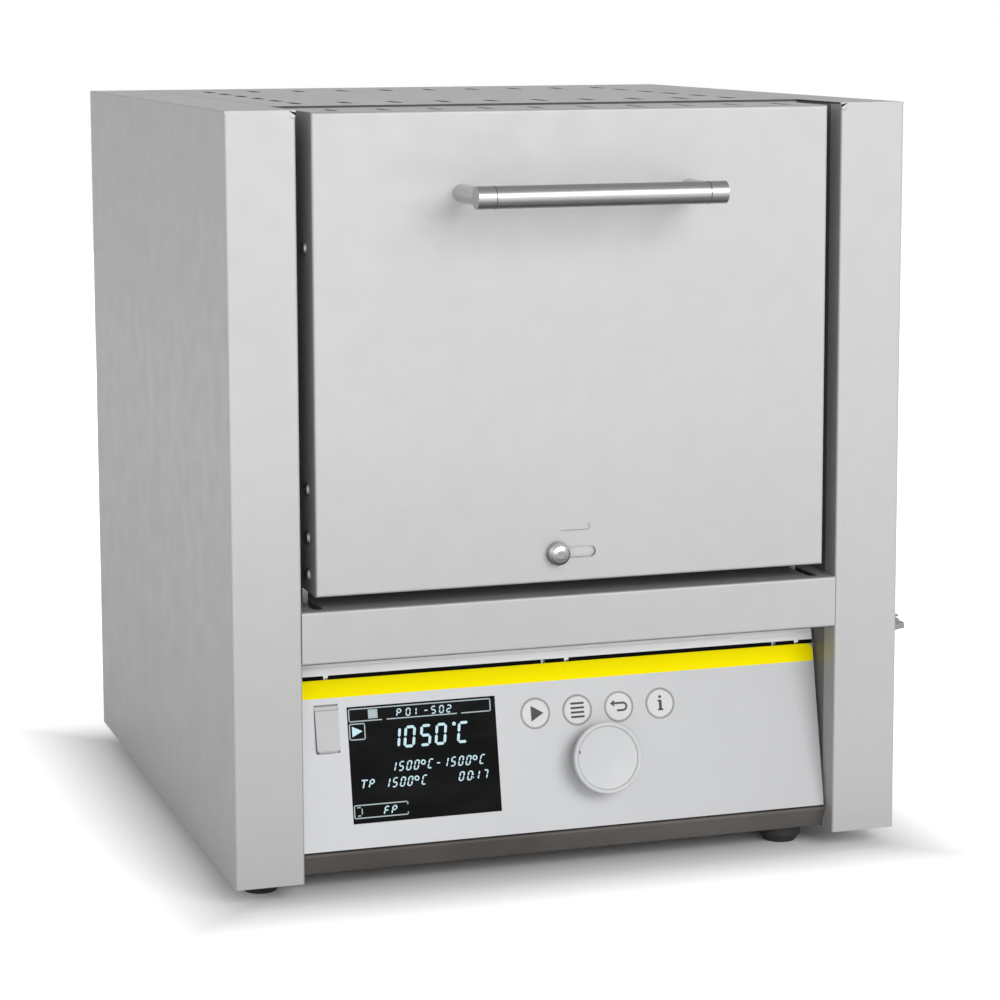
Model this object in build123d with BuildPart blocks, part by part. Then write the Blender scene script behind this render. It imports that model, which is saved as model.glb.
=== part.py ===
"""Bench muffle furnace with a flap door and a sloping control panel.

Millimetres, +Z up, and the front faces -Y. The origin is on the surface that the feet stand on,
at the middle of the furnace's outline, handle, exhaust stub and switch included. Helper planes give
every piece its place in the casing's own terms: x from the casing's middle, depth behind the face
of its columns, and z above its underside.
"""

import os
from math import cos, radians, sin

from build123d import *

os.makedirs("parts", exist_ok=True)

# ---- Casing
casing_width = 385.0
casing_depth = 390.0
casing_height = 414.0
sheet = 1.2                 # outer sheet
fold = 1.5                  # outside radius of its folds
column_width = 38.0         # front columns, and the top flanges that continue them
recess_depth = 60.0         # space between the columns that the door fills
foot_height = 10.0
foot_radius = 12.0
foot_left_inset = 20.5      # from the casing's left side
foot_right_inset = 57.0     # from its right side
foot_end_inset = 31.0       # from its front and back
seam = 0.3                  # gap at a seam between two sheets

# ---- Sill under the door
sill_top = 148.4
sill_height = 28.7
sill_flange = 35.0

# ---- Door
door_side_gap = 8.0         # between the door and each column
door_bottom = 156.0
door_top_drop = 1.3         # door's top below the casing's
door_thickness = 58.0
slot_width = 5.0
slots_across = 10
slot_margin = 17.5          # outermost slot's middle from the door's side
door_slot_length = 32.0

# ---- Top cover
cover_slot_length = 26.0
cover_slot_rows = 6
cover_first_row = 105.0
cover_last_margin = 65.0    # last row's middle from the casing's back

# ---- Door hinge: the pins stand below and behind the sill's front edge
pivot_depth = 14.0
pivot_z = 134.4
pin_radius = 4.0
running_gap = 0.05          # radial, between a pin and its bore
arm_thickness = 3.0
arm_gap = 1.0               # between the arm and the bracket's boss
hinge_slot_front = 6.0
hinge_slot_back = 48.0
hinge_slot_width = 6.0
bracket_thickness = 3.0
rivet_radius = 2.0
rivet_head_radius = 4.0
rivet_head_height = 2.0
rivet_depth = 16.5
rivet_heights = (166.0, 186.0, 212.0, 341.0)

# ---- Handle
handle_drop = 43.7          # bar's middle below the door's top
handle_radius = 6.0
handle_length = 139.0
handle_stand_off = 40.0     # bar's middle in front of the door
handle_end = 10.0           # length of each end piece along the bar
handle_post_radius = 5.0

# ---- Air slider
slider_z = 172.0
slider_x = -11.0            # knob's middle, closed
slider_travel = 19.0
slider_knob_radius = 6.5
slider_knob_height = 6.0
slider_stud_radius = 2.7
slider_slot_height = 6.3
slider_plate_length = 46.0
slider_plate_height = 16.0
slider_plate_sheet = 1.2
slider_play = 0.4

# ---- Chamber and what surrounds it
chamber_width = 200.0
chamber_height = 130.0
chamber_back = 265.0
collar_thickness = 33.8
heating_plate = 16.0
floor_plate_thickness = 8.0
roof_plate_thickness = 12.0
lining_side_space = 25.3    # air between the inner casing and the outer walls
lining_top_space = 17.0
lining_back_space = 67.8
insulation_under = 45.0
inner_sheet = 1.0
wire_radius = 2.5
wire_runs = 6
wire_pitch = 20.8
wire_bend = 9.0
plug_depth = 12.0           # how far the door's plug enters the collar
plug_gap = 4.0
plug_taper = 8.0            # degrees
seal_gap = 1.0              # between the door's pad and the collar

# ---- Exhaust and thermocouple
exhaust_drop = 24.0         # tube's middle below the chamber's top
exhaust_radius = 12.0
exhaust_stub_radius = 11.5  # outside the casing
exhaust_bore = 8.0
flange_radius = 24.0
flange_sheet = 2.0
rear_reach = 25.0           # exhaust stub behind the casing
thermocouple_x = -45.0
thermocouple_drop = 34.0
thermocouple_radius = 3.5
thermocouple_reach = 20.0   # tip inside the chamber

# ---- Control panel: it leans back from a lip near the bottom
lip_depth = 8.6
lip_z = 13.5
panel_tilt = 11.8
bezel_side_gap = 1.5        # between the panel and each column
bezel_height = 93.0
bezel_thickness = 3.0
stripe_height = 10.0
stripe_thickness = 0.8
rail_bottom = 95.3
rail_top = 100.2
key_inset = 136.5           # first key's middle from the panel's left edge
key_pitch = 24.7
key_v = 65.75
key_radius = 7.8
key_travel = 0.8
key_gap = 0.35
jog_inset = 173.5
jog_v = 38.6
jog_radius = 18.8
jog_height = 12.0
jog_press = 0.6
jog_shaft_radius = 3.0
board_level = -14.4         # front of the controller board, behind the panel's face
window_width = 84.4
window_height = 63.2
window_inset = 71.2
window_v = 45.6
window_thickness = 1.5
usb_inset = 17.2
usb_v_low = 53.5
usb_hinge_v = 78.0
usb_cover_width = 12.8
usb_gap = 0.3
usb_pin_radius = 0.8

# ---- Main switch
switch_reach = 10.0         # how far the rocker's raised end stands out of the casing
switch_depth = 14.5
switch_z = 121.0
switch_width = 12.6
switch_height = 20.6
switch_flange = 2.0
rocker_tilt = 9.0
rocker_gap = 0.35
rocker_block = 3.4          # height of the raised block at its lower end
rocker_rib_pitch = 2.3
rocker_rib = 0.9

# ---- Derived sizes
half_width = casing_width / 2
opening_half = half_width - column_width          # between the columns
inner_half = half_width - sheet                   # between the side walls
door_half = opening_half - door_side_gap
door_top = casing_height - door_top_drop
handle_z = door_top - handle_drop
slot_pitch = 2 * (door_half - slot_margin) / (slots_across - 1)
cover_slot_row_pitch = (casing_depth - cover_first_row - cover_last_margin) / (cover_slot_rows - 1)
door_inner = door_half - sheet
chamber_half = chamber_width / 2
chamber_floor = (door_bottom + door_top - chamber_height) / 2
chamber_top = chamber_floor + chamber_height
exhaust_z = chamber_top - exhaust_drop
thermocouple_z = chamber_top - thermocouple_drop
frame_depth = recess_depth
collar_front = frame_depth + sheet
collar_back = collar_front + collar_thickness
muffle_half = chamber_half + heating_plate
muffle_bottom = chamber_floor - floor_plate_thickness
muffle_top = chamber_top + roof_plate_thickness
lining_bottom = muffle_bottom - insulation_under
lining_top = casing_height - sheet - lining_top_space - inner_sheet
insulation_half_width = inner_half - lining_side_space - inner_sheet
insulation_back = casing_depth - sheet - lining_back_space - inner_sheet
handle_reach = handle_stand_off + handle_radius
bezel_half_width = opening_half - bezel_side_gap
key_x = key_inset - bezel_half_width
jog_x = jog_inset - bezel_half_width
window_x = window_inset - bezel_half_width
usb_x = usb_inset - bezel_half_width

mid_x = -switch_reach / 2
front_y = (handle_reach - casing_depth - rear_reach) / 2
tilt_sin = sin(radians(panel_tilt))
tilt_cos = cos(radians(panel_tilt))


# ---- Planes and small helpers
def level(z=0.0):
    """Horizontal plane at height z, with x and depth as its axes."""
    return Plane(origin=(mid_x, front_y, foot_height + z), x_dir=(1, 0, 0), z_dir=(0, 0, 1))


def front(depth=0.0):
    """Plane that faces the front at a depth, with x and z as its axes."""
    return Plane(origin=(mid_x, front_y + depth, foot_height), x_dir=(1, 0, 0), z_dir=(0, -1, 0))


def side(x=0.0):
    """Plane that faces +X, with depth and z as its axes."""
    return Plane(origin=(mid_x + x, front_y, foot_height), x_dir=(0, 1, 0), z_dir=(1, 0, 0))


def panel(height=0.0):
    """Control panel's plane, raised by a height, with x and the way up the panel as its axes."""
    lip = Vector(mid_x, front_y + lip_depth, foot_height + lip_z)
    face = Plane(origin=lip, x_dir=(1, 0, 0), z_dir=(0, -tilt_cos, tilt_sin))
    return face.offset(height)


def panel_section(x=0.0):
    """Plane across the panel, with the way up the panel and the height off it as its axes."""
    lip = Vector(mid_x + x, front_y + lip_depth, foot_height + lip_z)
    return Plane(origin=lip, x_dir=(0, tilt_sin, tilt_cos), z_dir=(1, 0, 0))


def turned(plane, x, y):
    """Plane for a turned profile about a face plane's normal: radius and height are its axes."""
    centre = plane.from_local_coords(Vector(x, y, 0))
    return Plane(origin=centre, x_dir=plane.x_dir, z_dir=plane.x_dir.cross(plane.z_dir))


def turning_axis(plane, x, y):
    """Axis along a face plane's normal."""
    return Axis(plane.from_local_coords(Vector(x, y, 0)), plane.z_dir)


def block(xs, depths, heights, mode=Mode.ADD):
    """Adds or cuts a block that spans two values each of x, depth and z."""
    spans = (xs, depths, heights)
    middle = tuple((low + high) / 2 for low, high in spans)
    with Locations(level().location * Location(middle)):
        Box(*(high - low for low, high in spans), mode=mode)


def field(xs, ys, mode=Mode.ADD):
    """Adds or cuts a rectangle between two values of each axis of a sketch."""
    with Locations(((xs[0] + xs[1]) / 2, (ys[0] + ys[1]) / 2)):
        Rectangle(xs[1] - xs[0], ys[1] - ys[0], mode=mode)


def bent(points, inside, thickness=sheet, radius=fold):
    """Fills the section of a folded sheet whose outer face runs along the points."""
    with BuildLine() as outer:
        FilletPolyline(*points, radius=radius)
        offset(amount=thickness, side=inside)
    make_face(outer.edges())


def save(piece, label):
    """Names a finished piece and writes its file."""
    piece.part.label = label
    export_step(piece.part, f"parts/{label}.step")


# ---- Outer casing
relief_radius = 1.6         # hole where a column's three folds meet
for hand, sign in (("left", -1), ("right", 1)):
    with BuildPart() as side_panel:
        with BuildSketch(level()):
            path = [
                (sign * opening_half, recess_depth),
                (sign * opening_half, 0),
                (sign * half_width, 0),
                (sign * half_width, casing_depth),
            ]
            bent(path, Side.LEFT if sign > 0 else Side.RIGHT)
        extrude(amount=casing_height)
        flange = sorted((sign * opening_half, sign * half_width))
        block(flange, (0, casing_depth), (casing_height - sheet, casing_height))
        rim = side_panel.edges().filter_by(Axis.Y).group_by(Axis.Z)[-1]
        fillet(rim.sort_by(Axis.X)[0 if sign < 0 else -1], radius=sheet * 0.8)
        with BuildSketch(front()):
            with Locations((sign * (opening_half + relief_radius), casing_height - sheet - relief_radius)):
                Circle(relief_radius)
        extrude(amount=-2 * sheet, mode=Mode.SUBTRACT)
        if hand == "right":
            with BuildSketch(side(half_width)):
                with Locations((switch_depth, switch_z)):
                    Rectangle(switch_width + seam, switch_height + seam)
            extrude(amount=-sheet, mode=Mode.SUBTRACT)
    save(side_panel, f"{hand}_side_panel")

with BuildPart() as top_cover:
    block((seam - opening_half, opening_half - seam), (recess_depth, casing_depth),
          (casing_height - sheet, casing_height))
    last_row = cover_first_row + (cover_slot_rows - 1) * cover_slot_row_pitch
    with BuildSketch(level(casing_height)):
        with Locations((0, cover_first_row), (0, last_row)):
            with GridLocations(slot_pitch, 1, slots_across, 1):
                SlotOverall(cover_slot_length, slot_width, rotation=90)
        with Locations((0, (cover_first_row + last_row) / 2)):
            with GridLocations(slot_pitch * (slots_across - 1), cover_slot_row_pitch, 2, cover_slot_rows - 2):
                SlotOverall(cover_slot_length, slot_width, rotation=90)
    extrude(amount=-sheet, mode=Mode.SUBTRACT)
save(top_cover, "top_cover")

inlet_x = inner_half - 63.3
inlet_z = 46.0
inlet_width = 27.5
inlet_height = 20.0
vent_length = 44.0
vent_width = 4.0
vent_pitch = 11.0
vents_in_group = 6
vent_group_x = 60.0
vent_group_z = 105.0
with BuildPart() as rear_panel:
    block((-inner_half, inner_half), (casing_depth - sheet, casing_depth), (0, casing_height - sheet))
    with BuildSketch(front(casing_depth)):
        with Locations((0, exhaust_z)):
            Circle(exhaust_radius + seam)
        with Locations((inlet_x, inlet_z)):
            Rectangle(inlet_width + seam, inlet_height + seam)
        with Locations((-vent_group_x, vent_group_z), (vent_group_x, vent_group_z)):
            with GridLocations(1, vent_pitch, 1, vents_in_group):
                Rectangle(vent_length, vent_width)
    extrude(amount=sheet, mode=Mode.SUBTRACT)
save(rear_panel, "rear_panel")

base_sheet = 1.5
with BuildPart() as base_plate:
    back = casing_depth - sheet
    block((-inner_half, inner_half), (fold, back), (0, base_sheet))
    gap = opening_half + sheet + seam
    block((-gap, gap), (sheet, recess_depth), (0, base_sheet), mode=Mode.SUBTRACT)
    with BuildSketch(level(base_sheet)):
        with Locations((0, casing_depth / 2)):
            with GridLocations(vent_pitch * 2, vent_length * 2, 7, 2):
                Rectangle(vent_width, vent_length)
    extrude(amount=-base_sheet, mode=Mode.SUBTRACT)
save(base_plate, "base_plate")

with BuildPart() as feet:
    feet_x = (foot_left_inset - half_width, half_width - foot_right_inset)
    feet_y = (foot_end_inset, casing_depth - foot_end_inset)
    with BuildSketch(level()):
        with Locations(*[(x, y) for x in feet_x for y in feet_y]):
            Circle(foot_radius)
    extrude(amount=-foot_height)
    chamfer(feet.edges().group_by(Axis.Z)[0], length=foot_height * 0.45, length2=foot_height * 0.3)
save(feet, "feet")

# ---- Sill, undercut strip and the bulkhead behind the door
arm_outer = door_inner
arm_inner = arm_outer - arm_thickness
slot_middle = (arm_outer + arm_inner) / 2
with BuildPart() as front_sill:
    with BuildSketch(side(-opening_half)):
        sill_low = sill_top - sill_height
        bent([(sill_flange, sill_low), (0, sill_low), (0, sill_top), (recess_depth, sill_top)], Side.RIGHT)
    extrude(amount=2 * opening_half)
    with BuildSketch(level(sill_top)):
        with Locations((0, (hinge_slot_front + hinge_slot_back) / 2)):
            with GridLocations(2 * slot_middle, 1, 2, 1):
                SlotOverall(hinge_slot_back - hinge_slot_front, hinge_slot_width, rotation=90)
    extrude(amount=-sheet, mode=Mode.SUBTRACT)
save(front_sill, "front_sill")

with BuildPart() as undercut_strip:
    strip_top = lip_z - 0.8
    strip_toe = lip_depth + 7.0
    strip_flange = 45.0
    with BuildSketch(side(-opening_half)):
        corners = [(30, strip_top), (lip_depth + 0.4, strip_top), (strip_toe, 0), (strip_flange, 0)]
        bent(corners, Side.LEFT, radius=1.3)
    extrude(amount=2 * opening_half)
save(undercut_strip, "undercut_strip")

with BuildPart() as front_frame:
    lip_margin = 15.0
    block((-inner_half, inner_half), (frame_depth, frame_depth + sheet), (sill_top - sill_height, casing_height - sheet))
    with BuildSketch(front(frame_depth)):
        field((-chamber_half - lip_margin, chamber_half + lip_margin),
              (chamber_floor - lip_margin, chamber_top + lip_margin))
    extrude(amount=-sheet, mode=Mode.SUBTRACT)
save(front_frame, "front_frame")

# ---- Inner casing, insulation and muffle
with BuildPart() as inner_casing:
    wall_half = insulation_half_width + inner_sheet
    block((-wall_half, wall_half), (collar_front, insulation_back + inner_sheet),
          (lining_bottom - inner_sheet, lining_top + inner_sheet))
    block((-insulation_half_width, insulation_half_width), (collar_front, insulation_back),
          (lining_bottom, lining_top), mode=Mode.SUBTRACT)
    with BuildSketch(front(insulation_back)):
        with Locations((0, exhaust_z)):
            Circle(exhaust_radius + seam)
        with Locations((thermocouple_x, thermocouple_z)):
            Circle(thermocouple_radius + seam)
        with Locations((0, (chamber_floor + chamber_top) / 2)):
            with GridLocations(2 * (chamber_half + wire_radius + seam), wire_pitch * (wire_runs - 1), 2, 2):
                Circle(wire_radius + seam)
    extrude(amount=-inner_sheet, mode=Mode.SUBTRACT)
save(inner_casing, "inner_casing")

with BuildPart() as support_brackets:
    leg_x = 120.0
    leg_foot = 16.0
    leg_front = 130.0
    leg_back = insulation_back - 20.0
    leg_top = lining_bottom - inner_sheet
    for sign in (-1, 1):
        with BuildSketch(front(leg_front)):
            heel = sign * (leg_x + leg_foot)
            leg = [(heel, base_sheet), (sign * leg_x, base_sheet), (sign * leg_x, leg_top), (heel, leg_top)]
            bent(leg, Side.LEFT if sign < 0 else Side.RIGHT)
        extrude(amount=leg_front - leg_back)
save(support_brackets, "support_brackets")

with BuildPart() as chamber_collar:
    block((-insulation_half_width, insulation_half_width), (collar_front, collar_back), (lining_bottom, lining_top))
    ring = lip_margin - seam
    block((-chamber_half - ring, chamber_half + ring), (frame_depth, collar_front),
          (chamber_floor - ring, chamber_top + ring))
    block((-chamber_half, chamber_half), (frame_depth, collar_back), (chamber_floor, chamber_top),
          mode=Mode.SUBTRACT)
save(chamber_collar, "chamber_collar")

with BuildPart() as insulation_sides:
    for sign in (-1, 1):
        wall = sorted((sign * muffle_half, sign * insulation_half_width))
        block(wall, (collar_back, insulation_back), (muffle_bottom, muffle_top))
save(insulation_sides, "insulation_sides")

with BuildPart() as insulation_top:
    block((-insulation_half_width, insulation_half_width), (collar_back, insulation_back), (muffle_top, lining_top))
save(insulation_top, "insulation_top")

with BuildPart() as insulation_bottom:
    block((-insulation_half_width, insulation_half_width), (collar_back, insulation_back),
          (lining_bottom, muffle_bottom))
save(insulation_bottom, "insulation_bottom")

with BuildPart() as insulation_rear:
    block((-muffle_half, muffle_half), (chamber_back, insulation_back), (muffle_bottom, muffle_top))
    with BuildSketch(front(insulation_back)):
        with Locations((0, exhaust_z)):
            Circle(exhaust_radius + seam)
        with Locations((thermocouple_x, thermocouple_z)):
            Circle(thermocouple_radius + seam)
        with Locations((0, (chamber_floor + chamber_top) / 2)):
            with GridLocations(2 * (chamber_half + wire_radius + seam), wire_pitch * (wire_runs - 1), 2, 2):
                Circle(wire_radius + seam)
    extrude(amount=insulation_back - chamber_back, mode=Mode.SUBTRACT)
save(insulation_rear, "insulation_rear")

groove_depth = 2 * wire_radius + seam
first_run = (chamber_floor + chamber_top - wire_pitch * (wire_runs - 1)) / 2
last_run = first_run + wire_pitch * (wire_runs - 1)
turn_front = collar_back + 12.0
turn_back = chamber_back - 12.0
with BuildPart() as heating_plates:
    for sign in (-1, 1):
        plate = sorted((sign * chamber_half, sign * muffle_half))
        groove = sorted((sign * chamber_half, sign * (chamber_half + groove_depth)))
        block(plate, (collar_back, chamber_back), (muffle_bottom, chamber_top))
        for run in range(wire_runs):
            middle = first_run + run * wire_pitch
            edges = (middle - wire_radius - seam, middle + wire_radius + seam)
            block(groove, (turn_front - wire_radius, chamber_back), edges, mode=Mode.SUBTRACT)
        for end in (turn_front - wire_radius - seam, turn_back - wire_bend):
            pocket = (end, end + wire_bend + wire_radius + seam)
            block(groove, pocket, (first_run, last_run), mode=Mode.SUBTRACT)
save(heating_plates, "heating_plates")

with BuildPart() as heating_wires:
    for sign in (-1, 1):
        wire_x = sign * (chamber_half + wire_radius + seam)
        route = []
        for run in range(wire_runs):
            height = first_run + run * wire_pitch
            ends = [(turn_back, height), (turn_front, height)]
            route += ends if run % 2 == 0 else ends[::-1]
        route[0] = (insulation_back + 12.0, first_run)
        route[-1] = (insulation_back + 12.0, last_run)
        with BuildLine(side(wire_x)) as wire_path:
            FilletPolyline(*route, radius=wire_bend)
        with BuildSketch(Plane(origin=wire_path.line @ 0, z_dir=wire_path.line % 0)):
            RegularPolygon(wire_radius, 6)
        sweep(path=wire_path.line)
save(heating_wires, "heating_wires")

with BuildPart() as roof_plate:
    block((-muffle_half, muffle_half), (collar_back, chamber_back), (chamber_top, muffle_top))
save(roof_plate, "roof_plate")

with BuildPart() as floor_plate:
    block((seam - chamber_half, chamber_half - seam), (collar_back, chamber_back - seam),
          (muffle_bottom, chamber_floor))
save(floor_plate, "floor_plate")

with BuildPart() as thermocouple:
    head = 20.0
    with BuildSketch(front(chamber_back - thermocouple_reach)):
        with Locations((thermocouple_x, thermocouple_z)):
            Circle(thermocouple_radius)
    extrude(amount=chamber_back - thermocouple_reach - insulation_back - inner_sheet)
    with BuildSketch(front(insulation_back + inner_sheet)):
        with Locations((thermocouple_x, thermocouple_z)):
            Circle(head / 2)
    extrude(amount=-head)
save(thermocouple, "thermocouple")

shoulder = casing_depth + flange_sheet
with BuildPart() as exhaust_tube:
    with BuildSketch(front(chamber_back)):
        with Locations((0, exhaust_z)):
            Circle(exhaust_radius)
    extrude(amount=chamber_back - shoulder)
    with BuildSketch(front(shoulder)):
        with Locations((0, exhaust_z)):
            Circle(exhaust_stub_radius)
    extrude(amount=shoulder - casing_depth - rear_reach)
    with BuildSketch(front(chamber_back)):
        with Locations((0, exhaust_z)):
            Circle(exhaust_bore)
    extrude(amount=chamber_back - casing_depth - rear_reach, mode=Mode.SUBTRACT)
save(exhaust_tube, "exhaust_tube")

with BuildPart() as exhaust_flange:
    with BuildSketch(front(casing_depth)):
        with Locations((0, exhaust_z)):
            Circle(flange_radius)
            Circle(exhaust_radius + running_gap, mode=Mode.SUBTRACT)
    extrude(amount=-flange_sheet)
save(exhaust_flange, "exhaust_flange")

# ---- Hinge
bracket_outer = opening_half
bracket_inner = bracket_outer - bracket_thickness
boss_end = arm_outer + arm_gap
pin_head = 2.0
with BuildPart() as hinge_brackets:
    for sign in (-1, 1):
        with BuildSketch(side(sign * bracket_inner)):
            field((sheet + seam, 40.0), (sill_top - sill_height + sheet, sill_top - sheet))
        extrude(amount=sign * bracket_thickness)
        with BuildSketch(side(sign * boss_end)):
            with Locations((pivot_depth, pivot_z)):
                Circle(2 * pin_radius)
        extrude(amount=sign * (bracket_inner - boss_end))
        with BuildSketch(side(sign * boss_end)):
            with Locations((pivot_depth, pivot_z)):
                Circle(pin_radius)
        extrude(amount=sign * (bracket_outer - boss_end), mode=Mode.SUBTRACT)
save(hinge_brackets, "hinge_brackets")

with BuildPart() as hinge_pins:
    for sign in (-1, 1):
        pin_start = arm_inner - arm_gap
        with BuildSketch(side(sign * (pin_start - pin_head))):
            with Locations((pivot_depth, pivot_z)):
                Circle(1.5 * pin_radius)
        extrude(amount=sign * pin_head)
        with BuildSketch(side(sign * pin_start)):
            with Locations((pivot_depth, pivot_z)):
                Circle(pin_radius)
        extrude(amount=sign * (bracket_outer - pin_start))
save(hinge_pins, "hinge_pins")

# Each arm is a gooseneck: it leaves the hub backwards, so that it clears the sill's edge when the
# door lies open. Its points are measured from the pivot.
neck_near = 21.0
neck_far = 32.0
arm_points = [
    (0, -8), (24, -8), (neck_far, 0), (neck_far, 40), (12, 62), (12, 90),
    (-6, 90), (-6, 25), (neck_near, 25), (neck_near, 10), (16.5, 5.5), (0, 8),
]
with BuildPart() as hinge_arms:
    for sign in (-1, 1):
        with BuildSketch(side(sign * arm_inner)):
            with BuildLine():
                outline = [(pivot_depth + y, pivot_z + z) for y, z in arm_points]
                Polyline(*outline, close=True)
            make_face()
            with Locations((pivot_depth, pivot_z)):
                Circle(2 * pin_radius)
                Circle(pin_radius + running_gap, mode=Mode.SUBTRACT)
            with Locations(*[(rivet_depth, z) for z in rivet_heights[:3]]):
                Circle(rivet_radius, mode=Mode.SUBTRACT)
        extrude(amount=sign * arm_thickness)
save(hinge_arms, "hinge_arms")

# ---- Door
with BuildPart() as door_skin:
    block((-door_half, door_half), (0, door_thickness), (door_bottom, door_top))
    fillet(door_skin.faces().sort_by(Axis.Y)[0].edges(), radius=fold)
    block((-door_inner, door_inner), (sheet, door_thickness), (door_bottom + sheet, door_top - sheet),
          mode=Mode.SUBTRACT)
    with BuildSketch(level(door_top)):
        with Locations((0, door_thickness / 2)):
            with GridLocations(slot_pitch, 1, slots_across, 1):
                SlotOverall(door_slot_length, slot_width, rotation=90)
    extrude(amount=-sheet, mode=Mode.SUBTRACT)
    with BuildSketch(level(door_bottom)):
        notch = (pivot_depth + neck_near - arm_gap, pivot_depth + neck_far + arm_gap)
        for sign in (-1, 1):
            field(sorted((sign * (arm_inner - seam), sign * arm_outer)), notch)
    extrude(amount=sheet, mode=Mode.SUBTRACT)
    with BuildSketch(front()):
        with Locations((slider_x + slider_travel / 2, slider_z)):
            SlotOverall(slider_travel + slider_slot_height, slider_slot_height)
        with Locations((0, handle_z)):
            with GridLocations(handle_length - handle_end, 1, 2, 1):
                Circle(2.5)
    extrude(amount=-sheet, mode=Mode.SUBTRACT)
    for sign in (-1, 1):
        with BuildSketch(side(sign * door_half)):
            with Locations(*[(rivet_depth, z) for z in rivet_heights]):
                Circle(rivet_radius)
        extrude(amount=-sign * sheet, mode=Mode.SUBTRACT)
save(door_skin, "door_skin")

with BuildPart() as door_rivets:
    stem = rivet_radius - 0.02
    for sign in (-1, 1):
        for z in rivet_heights:
            face = side(sign * door_half)
            grip = sheet + arm_thickness if z < max(rivet_heights) else sheet
            with BuildSketch(Plane(origin=face.from_local_coords(Vector(rivet_depth, z, 0)),
                                   x_dir=(0, 1, 0), z_dir=(0, 0, -sign))):
                with BuildLine():
                    Polyline((0, rivet_head_height), (0, -grip), (stem, -grip), (stem, 0), (rivet_head_radius, 0),
                             (rivet_head_radius * 0.86, rivet_head_height * 0.6),
                             (rivet_head_radius * 0.5, rivet_head_height), close=True)
                make_face()
            revolve(axis=Axis(face.from_local_coords(Vector(rivet_depth, z, 0)), (sign, 0, 0)))
save(door_rivets, "door_rivets")

pad_half = chamber_half + 19.5
pad_bottom = chamber_floor - 29.0
pad_top = chamber_top + 35.0
with BuildPart() as door_liner:
    block((-door_inner, door_inner), (door_thickness - sheet, door_thickness),
          (door_bottom + sheet, door_top - sheet))
    block((-pad_half - seam, pad_half + seam), (door_thickness - sheet, door_thickness),
          (pad_bottom - seam, pad_top + seam), mode=Mode.SUBTRACT)
save(door_liner, "door_liner")

air_bore_z = chamber_floor + 15.0
air_bore_radius = 5.0
slab_half = arm_inner - 6.3
slab_front = 8.0
with BuildPart() as door_insulation:
    block((-slab_half, slab_half), (slab_front, door_thickness - sheet), (door_bottom + 22.0, door_top - 12.7))
    block((-pad_half, pad_half), (door_thickness - sheet, frame_depth - seal_gap), (pad_bottom, pad_top))
    with BuildSketch(front(frame_depth - seal_gap)):
        field((plug_gap - chamber_half, chamber_half - plug_gap),
              (chamber_floor + plug_gap, chamber_top - plug_gap))
    extrude(amount=-plug_depth - seal_gap, taper=plug_taper)
    with BuildSketch(front(0)):
        with Locations((0, air_bore_z)):
            Circle(air_bore_radius)
    extrude(amount=-frame_depth - plug_depth, mode=Mode.SUBTRACT)
save(door_insulation, "door_insulation")

door_face = front()
with BuildPart() as handle_bar:
    with BuildSketch(side(handle_end - handle_length / 2)):
        with Locations((-handle_stand_off, handle_z)):
            Circle(handle_radius)
    extrude(amount=handle_length - 2 * handle_end)
save(handle_bar, "handle_bar")

screw_depth = 12.0
screw_radius = 2.4
with BuildPart() as handle_posts:
    for sign in (-1, 1):
        post_x = sign * (handle_length - handle_end) / 2
        with BuildSketch(side(sign * (handle_length / 2 - handle_end))):
            with Locations((-handle_stand_off, handle_z)):
                Circle(handle_radius)
        extrude(amount=sign * handle_end)
        with BuildSketch(door_face):
            with Locations((post_x, handle_z)):
                Circle(handle_post_radius)
        extrude(amount=handle_stand_off)
        with BuildSketch(door_face):
            with Locations((post_x, handle_z)):
                Circle(screw_radius)
        extrude(amount=screw_depth, mode=Mode.SUBTRACT)
save(handle_posts, "handle_posts")

with BuildPart() as handle_screws:
    for sign in (-1, 1):
        post_x = sign * (handle_length - handle_end) / 2
        with BuildSketch(front(sheet)):
            with Locations((post_x, handle_z)):
                Circle(2 * screw_radius)
        extrude(amount=-3.0)
        with BuildSketch(front(sheet)):
            with Locations((post_x, handle_z)):
                Circle(screw_radius)
        extrude(amount=sheet + screw_depth)
save(handle_screws, "handle_screws")

# ---- Air slider
plate_front = sheet + slider_play
plate_back = plate_front + slider_plate_sheet
plate_left = slider_x - 16.0
pocket_z = (slider_z - slider_plate_height / 2 - slider_play, slider_z + slider_plate_height / 2 + slider_play)
pocket_x = (plate_left - slider_play, plate_left + slider_plate_length + slider_travel + slider_play)
guide_wall = 3.5
air_hole_radius = 4.0
with BuildPart() as slider_guide:
    block((pocket_x[0] - guide_wall, pocket_x[1] + guide_wall), (sheet, plate_back + slider_play + 2.0),
          (pocket_z[0] - guide_wall, pocket_z[1] + guide_wall))
    block(pocket_x, (sheet, plate_back + slider_play), pocket_z, mode=Mode.SUBTRACT)
    with BuildSketch(front()):
        with Locations((plate_left + 5.0 + slider_travel, slider_z)):
            Circle(air_hole_radius)
    extrude(amount=-2 * guide_wall - sheet, mode=Mode.SUBTRACT)
save(slider_guide, "slider_guide")

with BuildPart() as slider_plate:
    block((plate_left, plate_left + slider_plate_length), (plate_front, plate_back),
          (slider_z - slider_plate_height / 2, slider_z + slider_plate_height / 2))
    with BuildSketch(front(plate_front)):
        with Locations((plate_left + 5.0, slider_z)):
            Circle(air_hole_radius)
    extrude(amount=-slider_plate_sheet, mode=Mode.SUBTRACT)
save(slider_plate, "slider_plate")

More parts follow.
